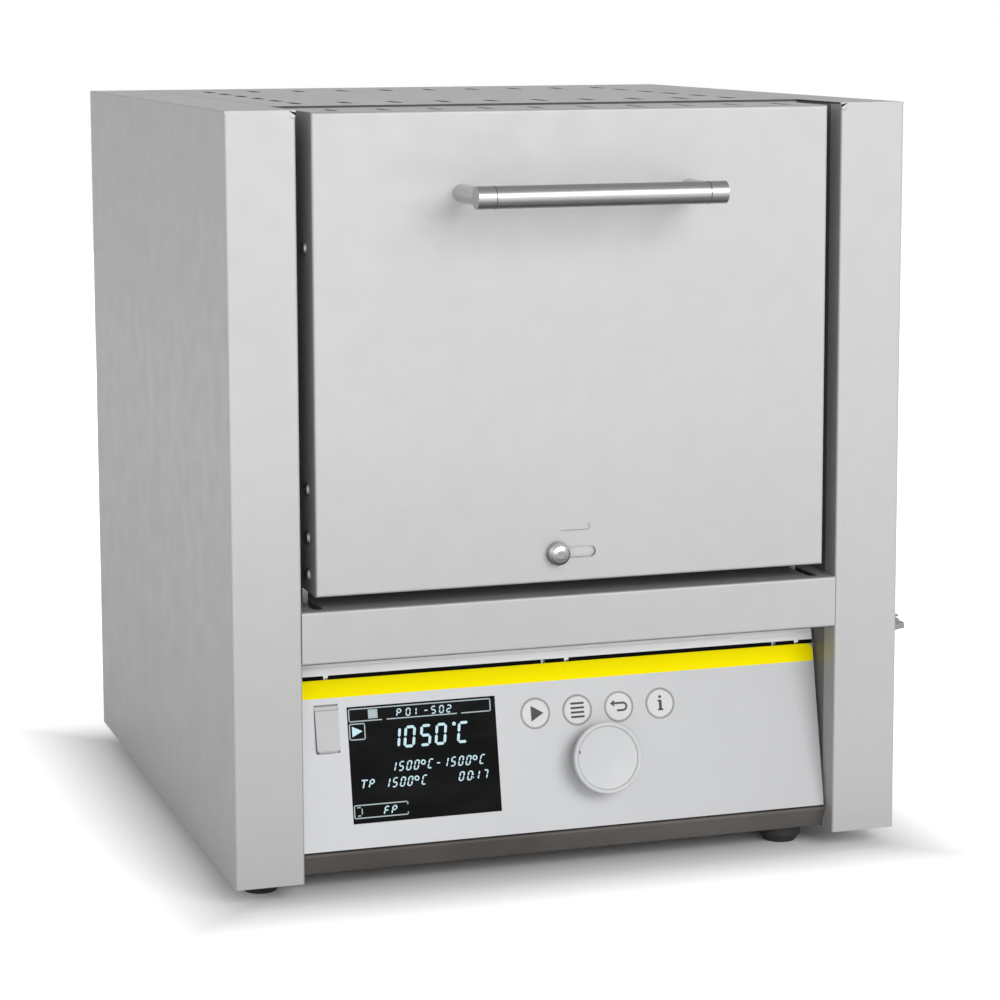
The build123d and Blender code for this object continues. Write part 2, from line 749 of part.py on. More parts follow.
with BuildPart() as slider_knob:
    knob_base = 0.6
    knob_side = 2.2
    with BuildSketch(turned(door_face, slider_x, slider_z)):
        with BuildLine():
            Polyline((0, slider_knob_height), (0, -plate_front), (slider_stud_radius, -plate_front),
                     (slider_stud_radius, knob_base), (slider_knob_radius, knob_base),
                     (slider_knob_radius, knob_side), (slider_knob_radius * 0.94, slider_knob_height * 0.66),
                     (slider_knob_radius * 0.7, slider_knob_height * 0.9),
                     (slider_knob_radius * 0.35, slider_knob_height), close=True)
        make_face()
    revolve(axis=turning_axis(door_face, slider_x, slider_z))
save(slider_knob, "slider_knob")

# ---- Door switch: a reed switch on the bulkhead, and its magnet in the door
sensor_x = (door_half - 44.5, door_half - 20.5)
sensor_z = (lining_top + 3.0, lining_top + 13.0)
with BuildPart() as door_switch:
    block(sensor_x, (frame_depth + sheet, frame_depth + sheet + 9.0), sensor_z)
    fillet(door_switch.edges().filter_by(Axis.X), radius=1.5)
save(door_switch, "door_switch")

with BuildPart() as door_magnet:
    block(sensor_x, (door_thickness - sheet - 6.0, door_thickness - sheet), (sensor_z[0] + 4.0, sensor_z[1]))
    chamfer(door_magnet.edges().filter_by(Axis.Z), length=1.0)
save(door_magnet, "door_magnet")

# ---- Control panel
face = panel()
outward = Axis(face.origin, face.z_dir)
keys_x = [key_x + number * key_pitch for number in range(4)]
recess_x = (usb_x - usb_cover_width / 2 - usb_gap, usb_x + usb_cover_width / 2 + usb_gap)
recess_v = (usb_v_low - usb_gap, usb_hinge_v + 1.6)
recess_depth_usb = 2.45
socket_v = 65.0
socket_width = 7.2
socket_height = 14.6
window_ledge = 3.0
stripe_bottom = bezel_height - stripe_height
with BuildPart() as control_bezel:
    with BuildSketch(face):
        field((-bezel_half_width, bezel_half_width), (0.6, bezel_height))
    extrude(amount=-bezel_thickness)
    fillet(control_bezel.edges().filter_by(outward).sort_by(Axis.Z)[-2:], radius=4.0)
    with BuildSketch(face):
        field((-bezel_half_width, bezel_half_width), (stripe_bottom, bezel_height))
    extrude(amount=-stripe_thickness, mode=Mode.SUBTRACT)
    with BuildSketch(face):
        with Locations((window_x, window_v)):
            Rectangle(window_width + seam, window_height + seam)
    extrude(amount=-window_thickness - 0.1, mode=Mode.SUBTRACT)
    with BuildSketch(face):
        field(recess_x, recess_v)
    extrude(amount=-recess_depth_usb, mode=Mode.SUBTRACT)
    with BuildSketch(face):
        with Locations((window_x, window_v)):
            Rectangle(window_width - 2 * window_ledge, window_height - 2 * window_ledge)
        with Locations((usb_x, socket_v)):
            Rectangle(socket_width - 1.0, socket_height - 1.0)
        with Locations(*[(x, key_v) for x in keys_x]):
            Circle(key_radius + key_gap)
        with Locations((jog_x, jog_v)):
            Circle(5.5)
    extrude(amount=-bezel_thickness, mode=Mode.SUBTRACT)
    with BuildSketch(panel_section(recess_x[0] - 3.0)):
        with Locations((usb_hinge_v, -1.0)):
            Circle(usb_pin_radius + running_gap)
    extrude(amount=recess_x[1] - recess_x[0] + 6.0, mode=Mode.SUBTRACT)
save(control_bezel, "control_bezel")

with BuildPart() as accent_stripe:
    with BuildSketch(panel(-stripe_thickness)):
        field((-bezel_half_width, bezel_half_width), (stripe_bottom, bezel_height))
    extrude(amount=stripe_thickness)
    fillet(accent_stripe.edges().filter_by(outward).sort_by(Axis.Z)[-2:], radius=4.0)
save(accent_stripe, "accent_stripe")

with BuildPart() as top_rail:
    rail_edge = (rail_bottom + rail_top) / 2
    rail_dip = 0.6
    clip_width = 14.0
    with BuildSketch(face):
        field((-bezel_half_width, bezel_half_width), (rail_bottom, rail_top))
        with Locations((0, rail_bottom - 0.5)):
            with GridLocations(bezel_half_width * 0.9, 1, 3, 1):
                Rectangle(clip_width, 1.6)
    extrude(amount=-bezel_thickness)
    fillet(top_rail.edges().filter_by(Axis.X).sort_by(Axis.Z)[-1], radius=1.0)
    with BuildSketch(panel(-rail_dip)):
        field((bezel_half_width - 47.3, bezel_half_width - 9.2), (rail_edge, rail_top + 1.0))
    extrude(amount=2 * rail_dip, mode=Mode.SUBTRACT)
save(top_rail, "top_rail")

carrier_back = -bezel_thickness - sheet
with BuildPart() as panel_carrier:
    carrier_half = opening_half
    with BuildSketch(panel(-bezel_thickness)):
        field((-carrier_half, carrier_half), (3.0, rail_top))
        with Locations((window_x, window_v)):
            Rectangle(window_width, window_height, mode=Mode.SUBTRACT)
        with Locations((usb_x, socket_v)):
            Rectangle(socket_width + 2.0, socket_height + 2.0, mode=Mode.SUBTRACT)
        with Locations(*[(x, key_v) for x in keys_x]):
            Circle(key_radius + 2.2, mode=Mode.SUBTRACT)
        with Locations((jog_x, jog_v)):
            Circle(6.5, mode=Mode.SUBTRACT)
    extrude(amount=-sheet)
    for sign in (-1, 1):
        with BuildSketch(panel(carrier_back)):
            field(sorted((sign * carrier_half, sign * (carrier_half - sheet))), (8.0, rail_top - 5.0))
        extrude(amount=-12.0)
save(panel_carrier, "panel_carrier")

with BuildPart() as display_window:
    with BuildSketch(panel(-window_thickness - 0.1)):
        with Locations((window_x, window_v)):
            Rectangle(window_width, window_height)
    extrude(amount=window_thickness)
save(display_window, "display_window")

with BuildPart() as display_module:
    with BuildSketch(panel(-bezel_thickness - 0.1)):
        with Locations((window_x, window_v)):
            Rectangle(window_width - 4.0, window_height - 4.0)
    extrude(amount=-6.0)
save(display_module, "display_module")

with BuildPart() as controller_board:
    post_radius = 3.0
    board_left = 7.0 - bezel_half_width
    board_right = board_left + 236.0
    board_v = (10.0, 84.0)
    with BuildSketch(panel(board_level)):
        field((board_left, board_right), board_v)
    extrude(amount=-1.6)
    post_columns = (board_left + 113.5, board_right - 7.0)
    posts = [(x, v) for x in post_columns for v in (board_v[0] + 7.0, board_v[1] - 7.0)]
    with BuildSketch(panel(board_level)):
        with Locations(*posts, (board_left + 13.0, board_v[0] + 7.0)):
            Circle(post_radius)
    extrude(amount=carrier_back - board_level)
save(controller_board, "controller_board")

bushing_top = -1.0
shaft_low = -8.0
shaft_high = 10.0
with BuildPart() as encoder:
    with BuildSketch(panel(board_level)):
        with Locations((jog_x, jog_v)):
            Rectangle(12.5, 13.2)
    extrude(amount=7.0)
    with BuildSketch(panel(board_level + 7.0)):
        with Locations((jog_x, jog_v)):
            Circle(4.5)
    extrude(amount=bushing_top - board_level - 7.0)
    with BuildSketch(panel(bushing_top)):
        with Locations((jog_x, jog_v)):
            Circle(jog_shaft_radius + running_gap)
    extrude(amount=shaft_low - 1.0 - bushing_top, mode=Mode.SUBTRACT)
save(encoder, "encoder")

with BuildPart() as encoder_shaft:
    with BuildSketch(panel(shaft_low)):
        with Locations((jog_x, jog_v)):
            Circle(jog_shaft_radius)
    extrude(amount=shaft_high - shaft_low)
save(encoder_shaft, "encoder_shaft")

with BuildPart() as jog_knob:
    skirt = 1.2
    hub_radius = 6.0
    hollow_radius = jog_radius - 2.0
    rim_radius = jog_radius - 2.4
    face_height = jog_height - 1.0
    bore = jog_shaft_radius + running_gap
    with BuildSketch(turned(face, jog_x, jog_v)):
        with BuildLine():
            Polyline((0, face_height), (0, shaft_high + 0.2), (bore, shaft_high + 0.2), (bore, skirt + 1.0),
                     (hub_radius, skirt + 1.0), (hub_radius, face_height - 1.5),
                     (hollow_radius, face_height - 1.5), (hollow_radius, skirt), (jog_radius, skirt),
                     (jog_radius - 0.5, jog_height - 1.2), (jog_radius - 1.2, jog_height),
                     (rim_radius, jog_height), (rim_radius - 1.4, face_height), close=True)
        make_face()
    revolve(axis=turning_axis(face, jog_x, jog_v))
save(jog_knob, "jog_knob")

for label, x in zip(("play_key", "menu_key", "back_key", "info_key"), keys_x):
    with BuildPart() as key:
        flange_top = -bezel_thickness - 0.3
        with BuildSketch(panel(flange_top)):
            with Locations((x, key_v)):
                Circle(key_radius + 1.2)
        extrude(amount=-1.2)
        with BuildSketch(panel(flange_top)):
            with Locations((x, key_v)):
                Circle(key_radius)
        extrude(amount=0.3 - flange_top)
        chamfer(key.faces().sort_by(outward)[-1].edges(), length=0.35)
        with BuildSketch(panel(flange_top - 1.2)):
            with Locations((x, key_v)):
                Circle(2.0)
        extrude(amount=board_level + key_travel + 0.4 - flange_top + 1.2)
    save(key, label)

with BuildPart() as usb_cover:
    cover_bottom = -recess_depth_usb + 0.4
    with BuildSketch(panel_section(usb_x - usb_cover_width / 2)):
        with BuildLine():
            Polyline((usb_v_low, cover_bottom), (usb_hinge_v, cover_bottom), (usb_hinge_v, 0.1),
                     (usb_hinge_v - 1.3, 0.15), (usb_hinge_v - 1.7, 1.1), (usb_v_low + 1.2, 2.1),
                     (usb_v_low, 1.3), close=True)
        make_face()
    extrude(amount=usb_cover_width)
    chamfer(usb_cover.edges().filter_by(outward).sort_by(Axis.Z)[:2], length=1.6)
    with BuildSketch(panel_section(usb_x - usb_cover_width / 2)):
        with Locations((usb_hinge_v, -1.0)):
            Circle(usb_pin_radius + 0.3)
    extrude(amount=usb_cover_width)
    with BuildSketch(panel_section(usb_x - usb_cover_width / 2 - 2.2)):
        with Locations((usb_hinge_v, -1.0)):
            Circle(usb_pin_radius)
    extrude(amount=usb_cover_width + 4.4)
save(usb_cover, "usb_cover")

with BuildPart() as usb_socket:
    shell_top = -bezel_thickness - 0.2
    with BuildSketch(panel(shell_top)):
        with Locations((usb_x, socket_v)):
            Rectangle(socket_width, socket_height)
    extrude(amount=board_level - shell_top)
    with BuildSketch(panel(shell_top)):
        with Locations((usb_x, socket_v)):
            Rectangle(socket_width - 1.4, socket_height - 1.4)
            Rectangle(1.8, socket_height - 3.4, mode=Mode.SUBTRACT)
    extrude(amount=board_level - shell_top + 1.0, mode=Mode.SUBTRACT)
save(usb_socket, "usb_socket")

# ---- Main switch: its rocker is drawn tilted, with the lower end raised
rocker_pivot = Vector(mid_x + half_width, front_y + switch_depth, foot_height + switch_z)
rocker_plane = Plane(
    origin=rocker_pivot,
    x_dir=(cos(radians(rocker_tilt)), 0, sin(radians(rocker_tilt))),
    z_dir=(0, -1, 0),
)
cavity_width = switch_width - 1.6
cavity_height = switch_height - 0.2
rocker_half_height = cavity_height / 2 - 4 * rocker_gap
rocker_end = (switch_reach - rocker_half_height * sin(radians(rocker_tilt))) / cos(radians(rocker_tilt))
with BuildPart() as main_switch_body:
    with BuildSketch(side(half_width)):
        with Locations((switch_depth, switch_z)):
            RectangleRounded(switch_width + 3.4, switch_height + 4.4, 1.5)
    extrude(amount=switch_flange)
    with BuildSketch(side(half_width)):
        with Locations((switch_depth, switch_z)):
            Rectangle(switch_width, switch_height)
    extrude(amount=-22.0)
    with BuildSketch(side(half_width + switch_flange)):
        with Locations((switch_depth, switch_z)):
            Rectangle(cavity_width, cavity_height)
    extrude(amount=-switch_flange - 9.0, mode=Mode.SUBTRACT)
    with BuildSketch(front(switch_depth + switch_width / 2)):
        with Locations((half_width, switch_z)):
            Circle(1.0 + running_gap)
    extrude(amount=switch_width, mode=Mode.SUBTRACT)
save(main_switch_body, "main_switch_body")

with BuildPart() as main_switch_rocker:
    rocker_width = cavity_width - 2 * rocker_gap
    rocker_face = rocker_end - 5.2
    block_top = rocker_block - rocker_half_height
    with BuildSketch(rocker_plane.offset(-rocker_width / 2)):
        with BuildLine():
            Polyline((rocker_face, rocker_half_height), (rocker_face, block_top), (rocker_end, block_top),
                     (rocker_end, -rocker_half_height), (1.0, -rocker_half_height), (-6.0, -3.0), (-6.0, 3.0),
                     (1.0, rocker_half_height), close=True)
        make_face()
        for number in (1, 2):
            rib = block_top + number * rocker_rib_pitch
            field((rocker_face - 0.5, rocker_end - 2.8), (rib - rocker_rib / 2, rib + rocker_rib / 2))
    extrude(amount=rocker_width)
    with BuildSketch(rocker_plane.offset(-switch_width / 2 + 0.2)):
        Circle(1.0)
    extrude(amount=switch_width - 0.4)
save(main_switch_rocker, "main_switch_rocker")

# ---- Mains inlet, relay and screws
with BuildPart() as power_inlet:
    body_depth = 24.0
    socket_depth = 15.5
    block((inlet_x - 24, inlet_x + 24), (casing_depth, casing_depth + 2.5), (inlet_z - 11.5, inlet_z + 11.5))
    chamfer(power_inlet.edges().filter_by(Axis.Y), length=7.0)
    block((inlet_x - inlet_width / 2, inlet_x + inlet_width / 2), (casing_depth - body_depth, casing_depth),
          (inlet_z - inlet_height / 2, inlet_z + inlet_height / 2))
    mouth = casing_depth + 2.5
    block((inlet_x - 12, inlet_x + 12), (mouth - socket_depth, mouth), (inlet_z - 8, inlet_z + 8),
          mode=Mode.SUBTRACT)
    for pin_x, pin_z in ((-7, -3), (7, -3), (0, 3.5)):
        block((inlet_x + pin_x - 1, inlet_x + pin_x + 1), (mouth - socket_depth, mouth - 3),
              (inlet_z + pin_z - 2, inlet_z + pin_z + 2))
save(power_inlet, "power_inlet")

with BuildPart() as solid_state_relay:
    relay_x = 72.5
    relay_depth = casing_depth - 111.0
    relay_size = (45.0, 58.0, 22.0)
    with BuildSketch(level(base_sheet)):
        with Locations((relay_x, relay_depth)):
            Rectangle(relay_size[0], relay_size[1])
    extrude(amount=relay_size[2])
    chamfer(solid_state_relay.edges().group_by(Axis.Z)[-1], length=1.5)
    with BuildSketch(level(base_sheet + relay_size[2])):
        with Locations((relay_x, relay_depth)):
            with GridLocations(25, 46, 2, 2):
                Circle(4)
    extrude(amount=3)
save(solid_state_relay, "solid_state_relay")

with BuildPart() as rear_screws:
    head_radius = 3.5
    head_height = 2.0
    edge = 9.0
    with BuildSketch(front(casing_depth)):
        with Locations((0, casing_height / 2)):
            with GridLocations(casing_width - 4 * edge, (casing_height - 4 * edge) / 3, 2, 4):
                Circle(head_radius)
    extrude(amount=-head_height)
    chamfer(rear_screws.edges().group_by(Axis.Y)[-1], length=head_height * 0.5)
save(rear_screws, "rear_screws")
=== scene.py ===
"""Looks of a bench muffle furnace: its finishes, heating coils, read-out, key marks and screws."""

from math import cos, pi, radians, sin

import bpy
from mathutils import Matrix, Vector


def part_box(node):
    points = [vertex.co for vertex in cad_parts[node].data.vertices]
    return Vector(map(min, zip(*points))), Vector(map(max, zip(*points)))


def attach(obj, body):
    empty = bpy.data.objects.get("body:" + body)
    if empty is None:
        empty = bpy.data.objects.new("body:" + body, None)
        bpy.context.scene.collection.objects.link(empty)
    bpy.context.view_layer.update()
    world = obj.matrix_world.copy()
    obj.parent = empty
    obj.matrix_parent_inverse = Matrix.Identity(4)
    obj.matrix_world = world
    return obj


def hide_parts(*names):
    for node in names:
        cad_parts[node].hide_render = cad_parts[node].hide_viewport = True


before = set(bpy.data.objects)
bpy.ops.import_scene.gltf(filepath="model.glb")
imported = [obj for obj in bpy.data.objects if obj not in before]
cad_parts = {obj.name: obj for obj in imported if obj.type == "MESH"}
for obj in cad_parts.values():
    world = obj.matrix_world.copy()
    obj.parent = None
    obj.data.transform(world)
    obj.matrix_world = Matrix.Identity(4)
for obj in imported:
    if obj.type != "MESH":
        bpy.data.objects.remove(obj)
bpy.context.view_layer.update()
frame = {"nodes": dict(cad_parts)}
nodes = frame["nodes"]
MM = 0.001

# ---- Places of the casing and of the sloping panel, as the solids have them
CASING_MIDDLE = -5.0 * MM
CASING_FRONT = -184.5 * MM
FOOT_HEIGHT = 10.0 * MM
CASING_TOP = 424.0 * MM
LIP_DEPTH = 8.6 * MM
LIP_HEIGHT = 13.5 * MM
PANEL_TILT = radians(11.8)

UP_THE_PANEL = Vector((0, sin(PANEL_TILT), cos(PANEL_TILT)))
OFF_THE_PANEL = Vector((0, -cos(PANEL_TILT), sin(PANEL_TILT)))
PANEL_LIP = Vector((CASING_MIDDLE, CASING_FRONT + LIP_DEPTH, FOOT_HEIGHT + LIP_HEIGHT))


def on_casing(x, depth, height):
    """Point in metres from casing millimetres: x from its middle, depth behind its face, height."""
    return Vector((CASING_MIDDLE + x * MM, CASING_FRONT + depth * MM, FOOT_HEIGHT + height * MM))


def on_panel(x, up, out=0.0):
    """Point in metres from panel millimetres: x, the way up the panel, and the height off it."""
    return PANEL_LIP + Vector((x * MM, 0, 0)) + UP_THE_PANEL * up * MM + OFF_THE_PANEL * out * MM


def face_matrix(origin, right, up):
    """Matrix that lays a flat drawing on a face, with its own z off the face."""
    out = right.cross(up)
    turn = Matrix((right, up, out)).transposed().to_4x4()
    return Matrix.Translation(origin) @ turn


def panel_matrix(x, up, out=0.0):
    return face_matrix(on_panel(x, up, out), Vector((1, 0, 0)), UP_THE_PANEL)


def door_matrix(x, height, out=0.0):
    return face_matrix(on_casing(x, -out, height), Vector((1, 0, 0)), Vector((0, 0, 1)))


# ---- Materials
class Flow:
    """A value in a node tree. Arithmetic on flows adds Math nodes."""

    def __init__(self, nodes, socket):
        self.nodes = nodes
        self.socket = socket

    def math(self, operation, *values):
        return self.nodes.node("ShaderNodeMath", {"operation": operation}, dict(enumerate(values)))

    def __add__(self, other):
        return self.math("ADD", self, other)

    def __radd__(self, other):
        return self.math("ADD", other, self)

    def __sub__(self, other):
        return self.math("SUBTRACT", self, other)

    def __rsub__(self, other):
        return self.math("SUBTRACT", other, self)

    def __mul__(self, other):
        return self.math("MULTIPLY", self, other)

    def __rmul__(self, other):
        return self.math("MULTIPLY", other, self)

    def __gt__(self, other):
        return self.math("GREATER_THAN", self, other)

    def __lt__(self, other):
        return self.math("LESS_THAN", self, other)

    def __abs__(self):
        return self.math("ABSOLUTE", self)

    def larger(self, other):
        return self.math("MAXIMUM", self, other)

    def sine(self):
        return self.math("SINE", self)


class Nodes:
    """A node tree whose nodes are added one call each."""

    def __init__(self, tree):
        self.tree = tree

    def node(self, kind, settings=None, inputs=None, output=0):
        made = self.tree.nodes.new(kind)
        for name, value in (settings or {}).items():
            if name == "stops":
                self.set_stops(made.color_ramp, value)
            else:
                setattr(made, name, value)
        for key, value in (inputs or {}).items():
            self.feed(made.inputs[key], value)
        return Flow(self, made.outputs[output])

    def set_stops(self, ramp, stops):
        while len(ramp.elements) < len(stops):
            ramp.elements.new(0.5)
        for element, (position, colour) in zip(ramp.elements, stops):
            element.position = position
            element.color = (*colour, 1)

    def feed(self, socket, value):
        if isinstance(value, Flow):
            self.tree.links.new(value.socket, socket)
        else:
            socket.default_value = value

    def outputs(self, flow):
        """All outputs of the node that gives a flow."""
        return [Flow(self, output) for output in flow.socket.node.outputs]

    def remap(self, value, low, high, new_low=0.0, new_high=1.0, way="LINEAR"):
        """Brings a range to another range, with its ends held."""
        settings = {"clamp": True, "interpolation_type": way}
        inputs = dict(enumerate((value, low, high, new_low, new_high)))
        return self.node("ShaderNodeMapRange", settings, inputs)

    def seen(self):
        """1 where the eye looks straight, through gloss or through glass, and 0 for other light."""
        path = self.node("ShaderNodeLightPath").socket.node
        names = "Is Camera Ray", "Is Glossy Ray", "Is Transmission Ray"
        straight, glossy, through = [Flow(self, path.outputs[name]) for name in names]
        return straight + glossy + through


class Finish(Nodes):
    """A material whose surface varies by its nodes. Constants go on the shader's own sockets."""

    def __init__(self, name, **constants):
        self.material = bpy.data.materials.new(name)
        self.material.use_nodes = True
        super().__init__(self.material.node_tree)
        self.shader = self.tree.nodes["Principled BSDF"]
        for socket, value in constants.items():
            self.shader.inputs[socket.replace("_", " ")].default_value = value

    def place(self):
        """Object coordinates, in metres."""
        return self.node("ShaderNodeTexCoord", output=3)

    def axes(self):
        return self.outputs(self.node("ShaderNodeSeparateXYZ", inputs={0: self.place()}))

    def normal(self):
        """The surface's normal along the object's own axes, each from -1 to 1."""
        settings = {"vector_type": "NORMAL", "convert_from": "WORLD", "convert_to": "OBJECT"}
        normal = self.node("ShaderNodeNewGeometry", output=1)
        turned = self.node("ShaderNodeVectorTransform", settings, {0: normal})
        return self.outputs(self.node("ShaderNodeSeparateXYZ", inputs={0: turned}))

    def facing(self):
        """How far the surface faces along each axis, from 0 to 1."""
        return [abs(part) for part in self.normal()]

    def noise(self, scale, detail=2.0, roughness=0.5, stretch=(1, 1, 1)):
        place = self.node("ShaderNodeMapping", inputs={"Vector": self.place(), "Scale": stretch})
        settings = {"Vector": place, "Scale": scale, "Detail": detail, "Roughness": roughness}
        return self.node("ShaderNodeTexNoise", inputs=settings)

    def mix(self, factor, first, second):
        inputs = {0: factor, 6: first, 7: second}
        return self.node("ShaderNodeMix", {"data_type": "RGBA"}, inputs, output=2)

    def ramp(self, factor, *stops):
        return self.node("ShaderNodeValToRGB", {"stops": stops}, {0: factor})

    def bump(self, height, strength, distance):
        inputs = {"Height": height, "Strength": strength, "Distance": distance}
        return self.node("ShaderNodeBump", inputs=inputs)

    def dress(self, **varying):
        for socket, value in varying.items():
            self.feed(self.shader.inputs[socket.replace("_", " ")], value)
        return self.material


def grey(value):
    return (value, value, value, 1)


LINEN_PITCH = 1.3 * MM                              # of the rolled pattern's ribs
GAP_START, GAP_END = 145.5 * MM, 156.0 * MM         # of the gaps beside the door, from the casing's middle
COLUMN_WALL = 150.0 * MM                            # where the column's side of a gap starts
GAP_MOUTH = 14.0 * MM                               # how far in a gap's walls stay light
SLOTTED_HALF, SLOT_WALL = 180.0 * MM, 1.2 * MM      # of the top with its slots
POSTS_START = 33.0 * MM                             # before the casing's face, where the handle's posts start


def three_ways(finish, pattern):
    """Draws a flat pattern along the two axes that lie in each face."""
    x, y, z = finish.axes()
    towards_x, towards_y, towards_z = finish.facing()
    on_front = pattern(x, z) * (towards_y > 0.6)
    on_side = pattern(y, z) * (towards_x > 0.6)
    on_top = pattern(x, y) * (towards_z > 0.6)
    return on_front + on_side + on_top


def shaded_places(finish, colour):
    """Paints shade: darkens what faces up, the walls of the top's slots, and the walls of the gaps beside the
    door.
    """
    x, y, z = finish.axes()
    towards_x, towards_y, towards_z = finish.facing()
    out = abs(x - CASING_MIDDLE)
    # Painted shade on faces that look up
    colour = finish.mix((towards_z > 0.6) * 0.35, colour, grey(0.20))
    # Painted shade on the walls of the top's slots
    in_top = (z > CASING_TOP - SLOT_WALL) * (out < SLOTTED_HALF) * (y > CASING_FRONT + 2 * MM)
    colour = finish.mix(in_top * (towards_z < 0.3) * 0.9, colour, grey(0.03))
    # Painted shade on the walls of the gaps beside the door, darkest deep in on the column's side
    in_gap = (out > GAP_START) * (out < GAP_END) * (towards_x > 0.6)
    colour = finish.mix(in_gap * 0.12, colour, grey(0.04))
    deep = (out > COLUMN_WALL) * (y > CASING_FRONT + GAP_MOUTH)
    return finish.mix(in_gap * deep * 0.6, colour, grey(0.01))


def linen_steel():
    """Stainless sheet rolled with a fine diagonal linen pattern, drawn with painted shade in its hollows and
    a painted highlight on its crests, and darker towards its foot and its left.
    """
    finish = Finish("linen_steel", Metallic=0.35, Specular_IOR_Level=0.3)
    x, y, z = finish.axes()

    def ribs(a, b):
        return ((a + b) * (2 * pi / LINEN_PITCH)).sine()

    weave = three_ways(finish, ribs) * finish.remap(z, 0.12, 0.36, 1.0, 0.25)
    shade = 0.5 + weave * 0.42
    cloud = finish.noise(9.0, 3.0)
    # Darker towards the foot and towards the left
    lower_left_tone = finish.mix(cloud, (0.405, 0.404, 0.40, 1), (0.43, 0.429, 0.425, 1))
    upper_right_tone = finish.mix(cloud, (0.465, 0.465, 0.468, 1), (0.49, 0.49, 0.493, 1))
    lower_left_share = finish.remap(z, 0.11, 0.25, 1.0, 0.0) * finish.remap(x, -0.12, 0.18, 1.0, 0.25)
    base = finish.mix(lower_left_share, upper_right_tone, lower_left_tone)
    # Painted shade in the weave's hollows and a painted highlight on its crests
    hollow_shade = finish.mix(0.60, base, grey(0.14))
    crest_highlight = finish.mix(0.50, base, (0.76, 0.76, 0.765, 1))
    colour = finish.mix(finish.remap(shade, 0.0, 0.5), hollow_shade, base)
    colour = finish.mix(finish.remap(shade, 0.5, 1.0), colour, crest_highlight)
    colour = shaded_places(finish, colour)
    roughness = finish.remap(finish.noise(60.0, 4.0), 0.3, 0.7, 0.48, 0.58)
    return finish.dress(Base_Color=colour, Roughness=roughness, Normal=finish.bump(weave, 0.25, 0.05 * MM))


def brushed_steel(name, shade=0.62, roughness=0.3, along=(1, 60, 60), metallic=1.0):
    """Steel with fine lines along one way."""
    finish = Finish(name, Metallic=metallic)
    lines = finish.noise(40.0, 6.0, 0.7, along)
    colour = finish.mix(finish.remap(lines, 0.3, 0.7), grey(shade * 0.86), grey(shade))
    smooth = finish.remap(lines, 0.3, 0.7, roughness, roughness + 0.1)
    relief = finish.bump(lines, 0.12, 0.03 * MM)
    return finish.dress(Base_Color=colour, Roughness=smooth, Normal=relief)


def turned_bar(name, stops, roughness=0.25, posts=0.85):
    """Polished round bar with a painted reflection: its tone follows how far its face looks up or down. Its
    posts are plainer.
    """
    finish = Finish(name, Metallic=0.9)
    lines = finish.noise(40.0, 6.0, 0.7, (2, 60, 60))
    # Painted reflection and highlight, banded by how far the face looks up
    tone = finish.ramp(finish.remap(finish.normal()[2], -1.0, 1.0), *stops)
    if posts:
        on_posts = finish.axes()[1] > CASING_FRONT - POSTS_START
        tone = finish.mix(on_posts * posts, tone, grey(0.58))
    colour = finish.mix(finish.remap(lines, 0.3, 0.7) * 0.25, tone, grey(0.30))
    smooth = finish.remap(lines, 0.3, 0.7, roughness, roughness + 0.1)
    return finish.dress(Base_Color=colour, Roughness=smooth, Normal=finish.bump(lines, 0.1, 0.03 * MM))


def galvanised_sheet(name="galvanised_sheet", level=1.0):
    """Zinc-coated sheet with its spangle."""
    finish = Finish(name, Metallic=0.85)
    cells = finish.node("ShaderNodeTexVoronoi", inputs={"Vector": finish.place(), "Scale": 140.0}, output=1)
    tone = finish.node("ShaderNodeSeparateColor", inputs={0: cells})
    colour = finish.mix(tone, grey(0.43 * level), grey(0.57 * level))
    roughness = finish.remap(tone, 0.0, 1.0, 0.36, 0.55)
    return finish.dress(Base_Color=colour, Roughness=roughness, Normal=finish.bump(tone, 0.05, 0.05 * MM))


def powder_coat(name, colour, darker, roughness=0.45, peel=0.12, gloss=0.5, shade_to_right=0.0):
    """Painted sheet with a fine orange peel, which may carry painted shade towards its right."""
    finish = Finish(name, Specular_IOR_Level=gloss)
    skin = finish.noise(900.0, 3.0)
    cloud = finish.noise(14.0, 3.0)
    paint = finish.mix(finish.remap(cloud, 0.35, 0.65), darker, colour)
    if shade_to_right:
        # Painted shade, darker towards the right
        towards_right = finish.remap(finish.axes()[0], -0.15, 0.15, 0.0, shade_to_right)
        paint = finish.mix(towards_right, paint, grey(0.40))
    smooth = finish.remap(skin, 0.3, 0.7, roughness - 0.05, roughness + 0.06)
    return finish.dress(Base_Color=paint, Roughness=smooth, Normal=finish.bump(skin, peel, 0.06 * MM))


def moulded(name, colour, darker, roughness=0.45, grain=0.2):
    """Moulded plastic with a spark-eroded grain."""
    finish = Finish(name)
    skin = finish.noise(1800.0, 4.0, 0.6)
    tint = finish.mix(finish.remap(finish.noise(30.0, 2.0), 0.35, 0.65), darker, colour)
    smooth = finish.remap(skin, 0.3, 0.7, roughness - 0.06, roughness + 0.08)
    return finish.dress(Base_Color=tint, Roughness=smooth, Normal=finish.bump(skin, grain, 0.04 * MM))


def display_glass():
    """Black window with faint wiping marks."""
    finish = Finish("display_glass", Specular_IOR_Level=0.08)
    smear = finish.noise(26.0, 4.0, 0.6, (1, 1, 3))
    colour = finish.mix(smear, (0.0015, 0.0018, 0.0018, 1), (0.003, 0.0035, 0.0035, 1))
    roughness = finish.remap(smear, 0.35, 0.7, 0.10, 0.26)
    return finish.dress(Base_Color=colour, Roughness=roughness)


def lit_segment(name, colour, strength):
    """Display segment that glows a little unevenly."""
    finish = Finish(name, Emission_Strength=strength, Roughness=0.5)
    glow = finish.noise(400.0, 1.0)
    tint = finish.mix(finish.remap(glow, 0.3, 0.7), tuple(0.86 * c for c in colour[:3]) + (1,), colour)
    return finish.dress(Base_Color=grey(0.02), Emission_Color=tint)


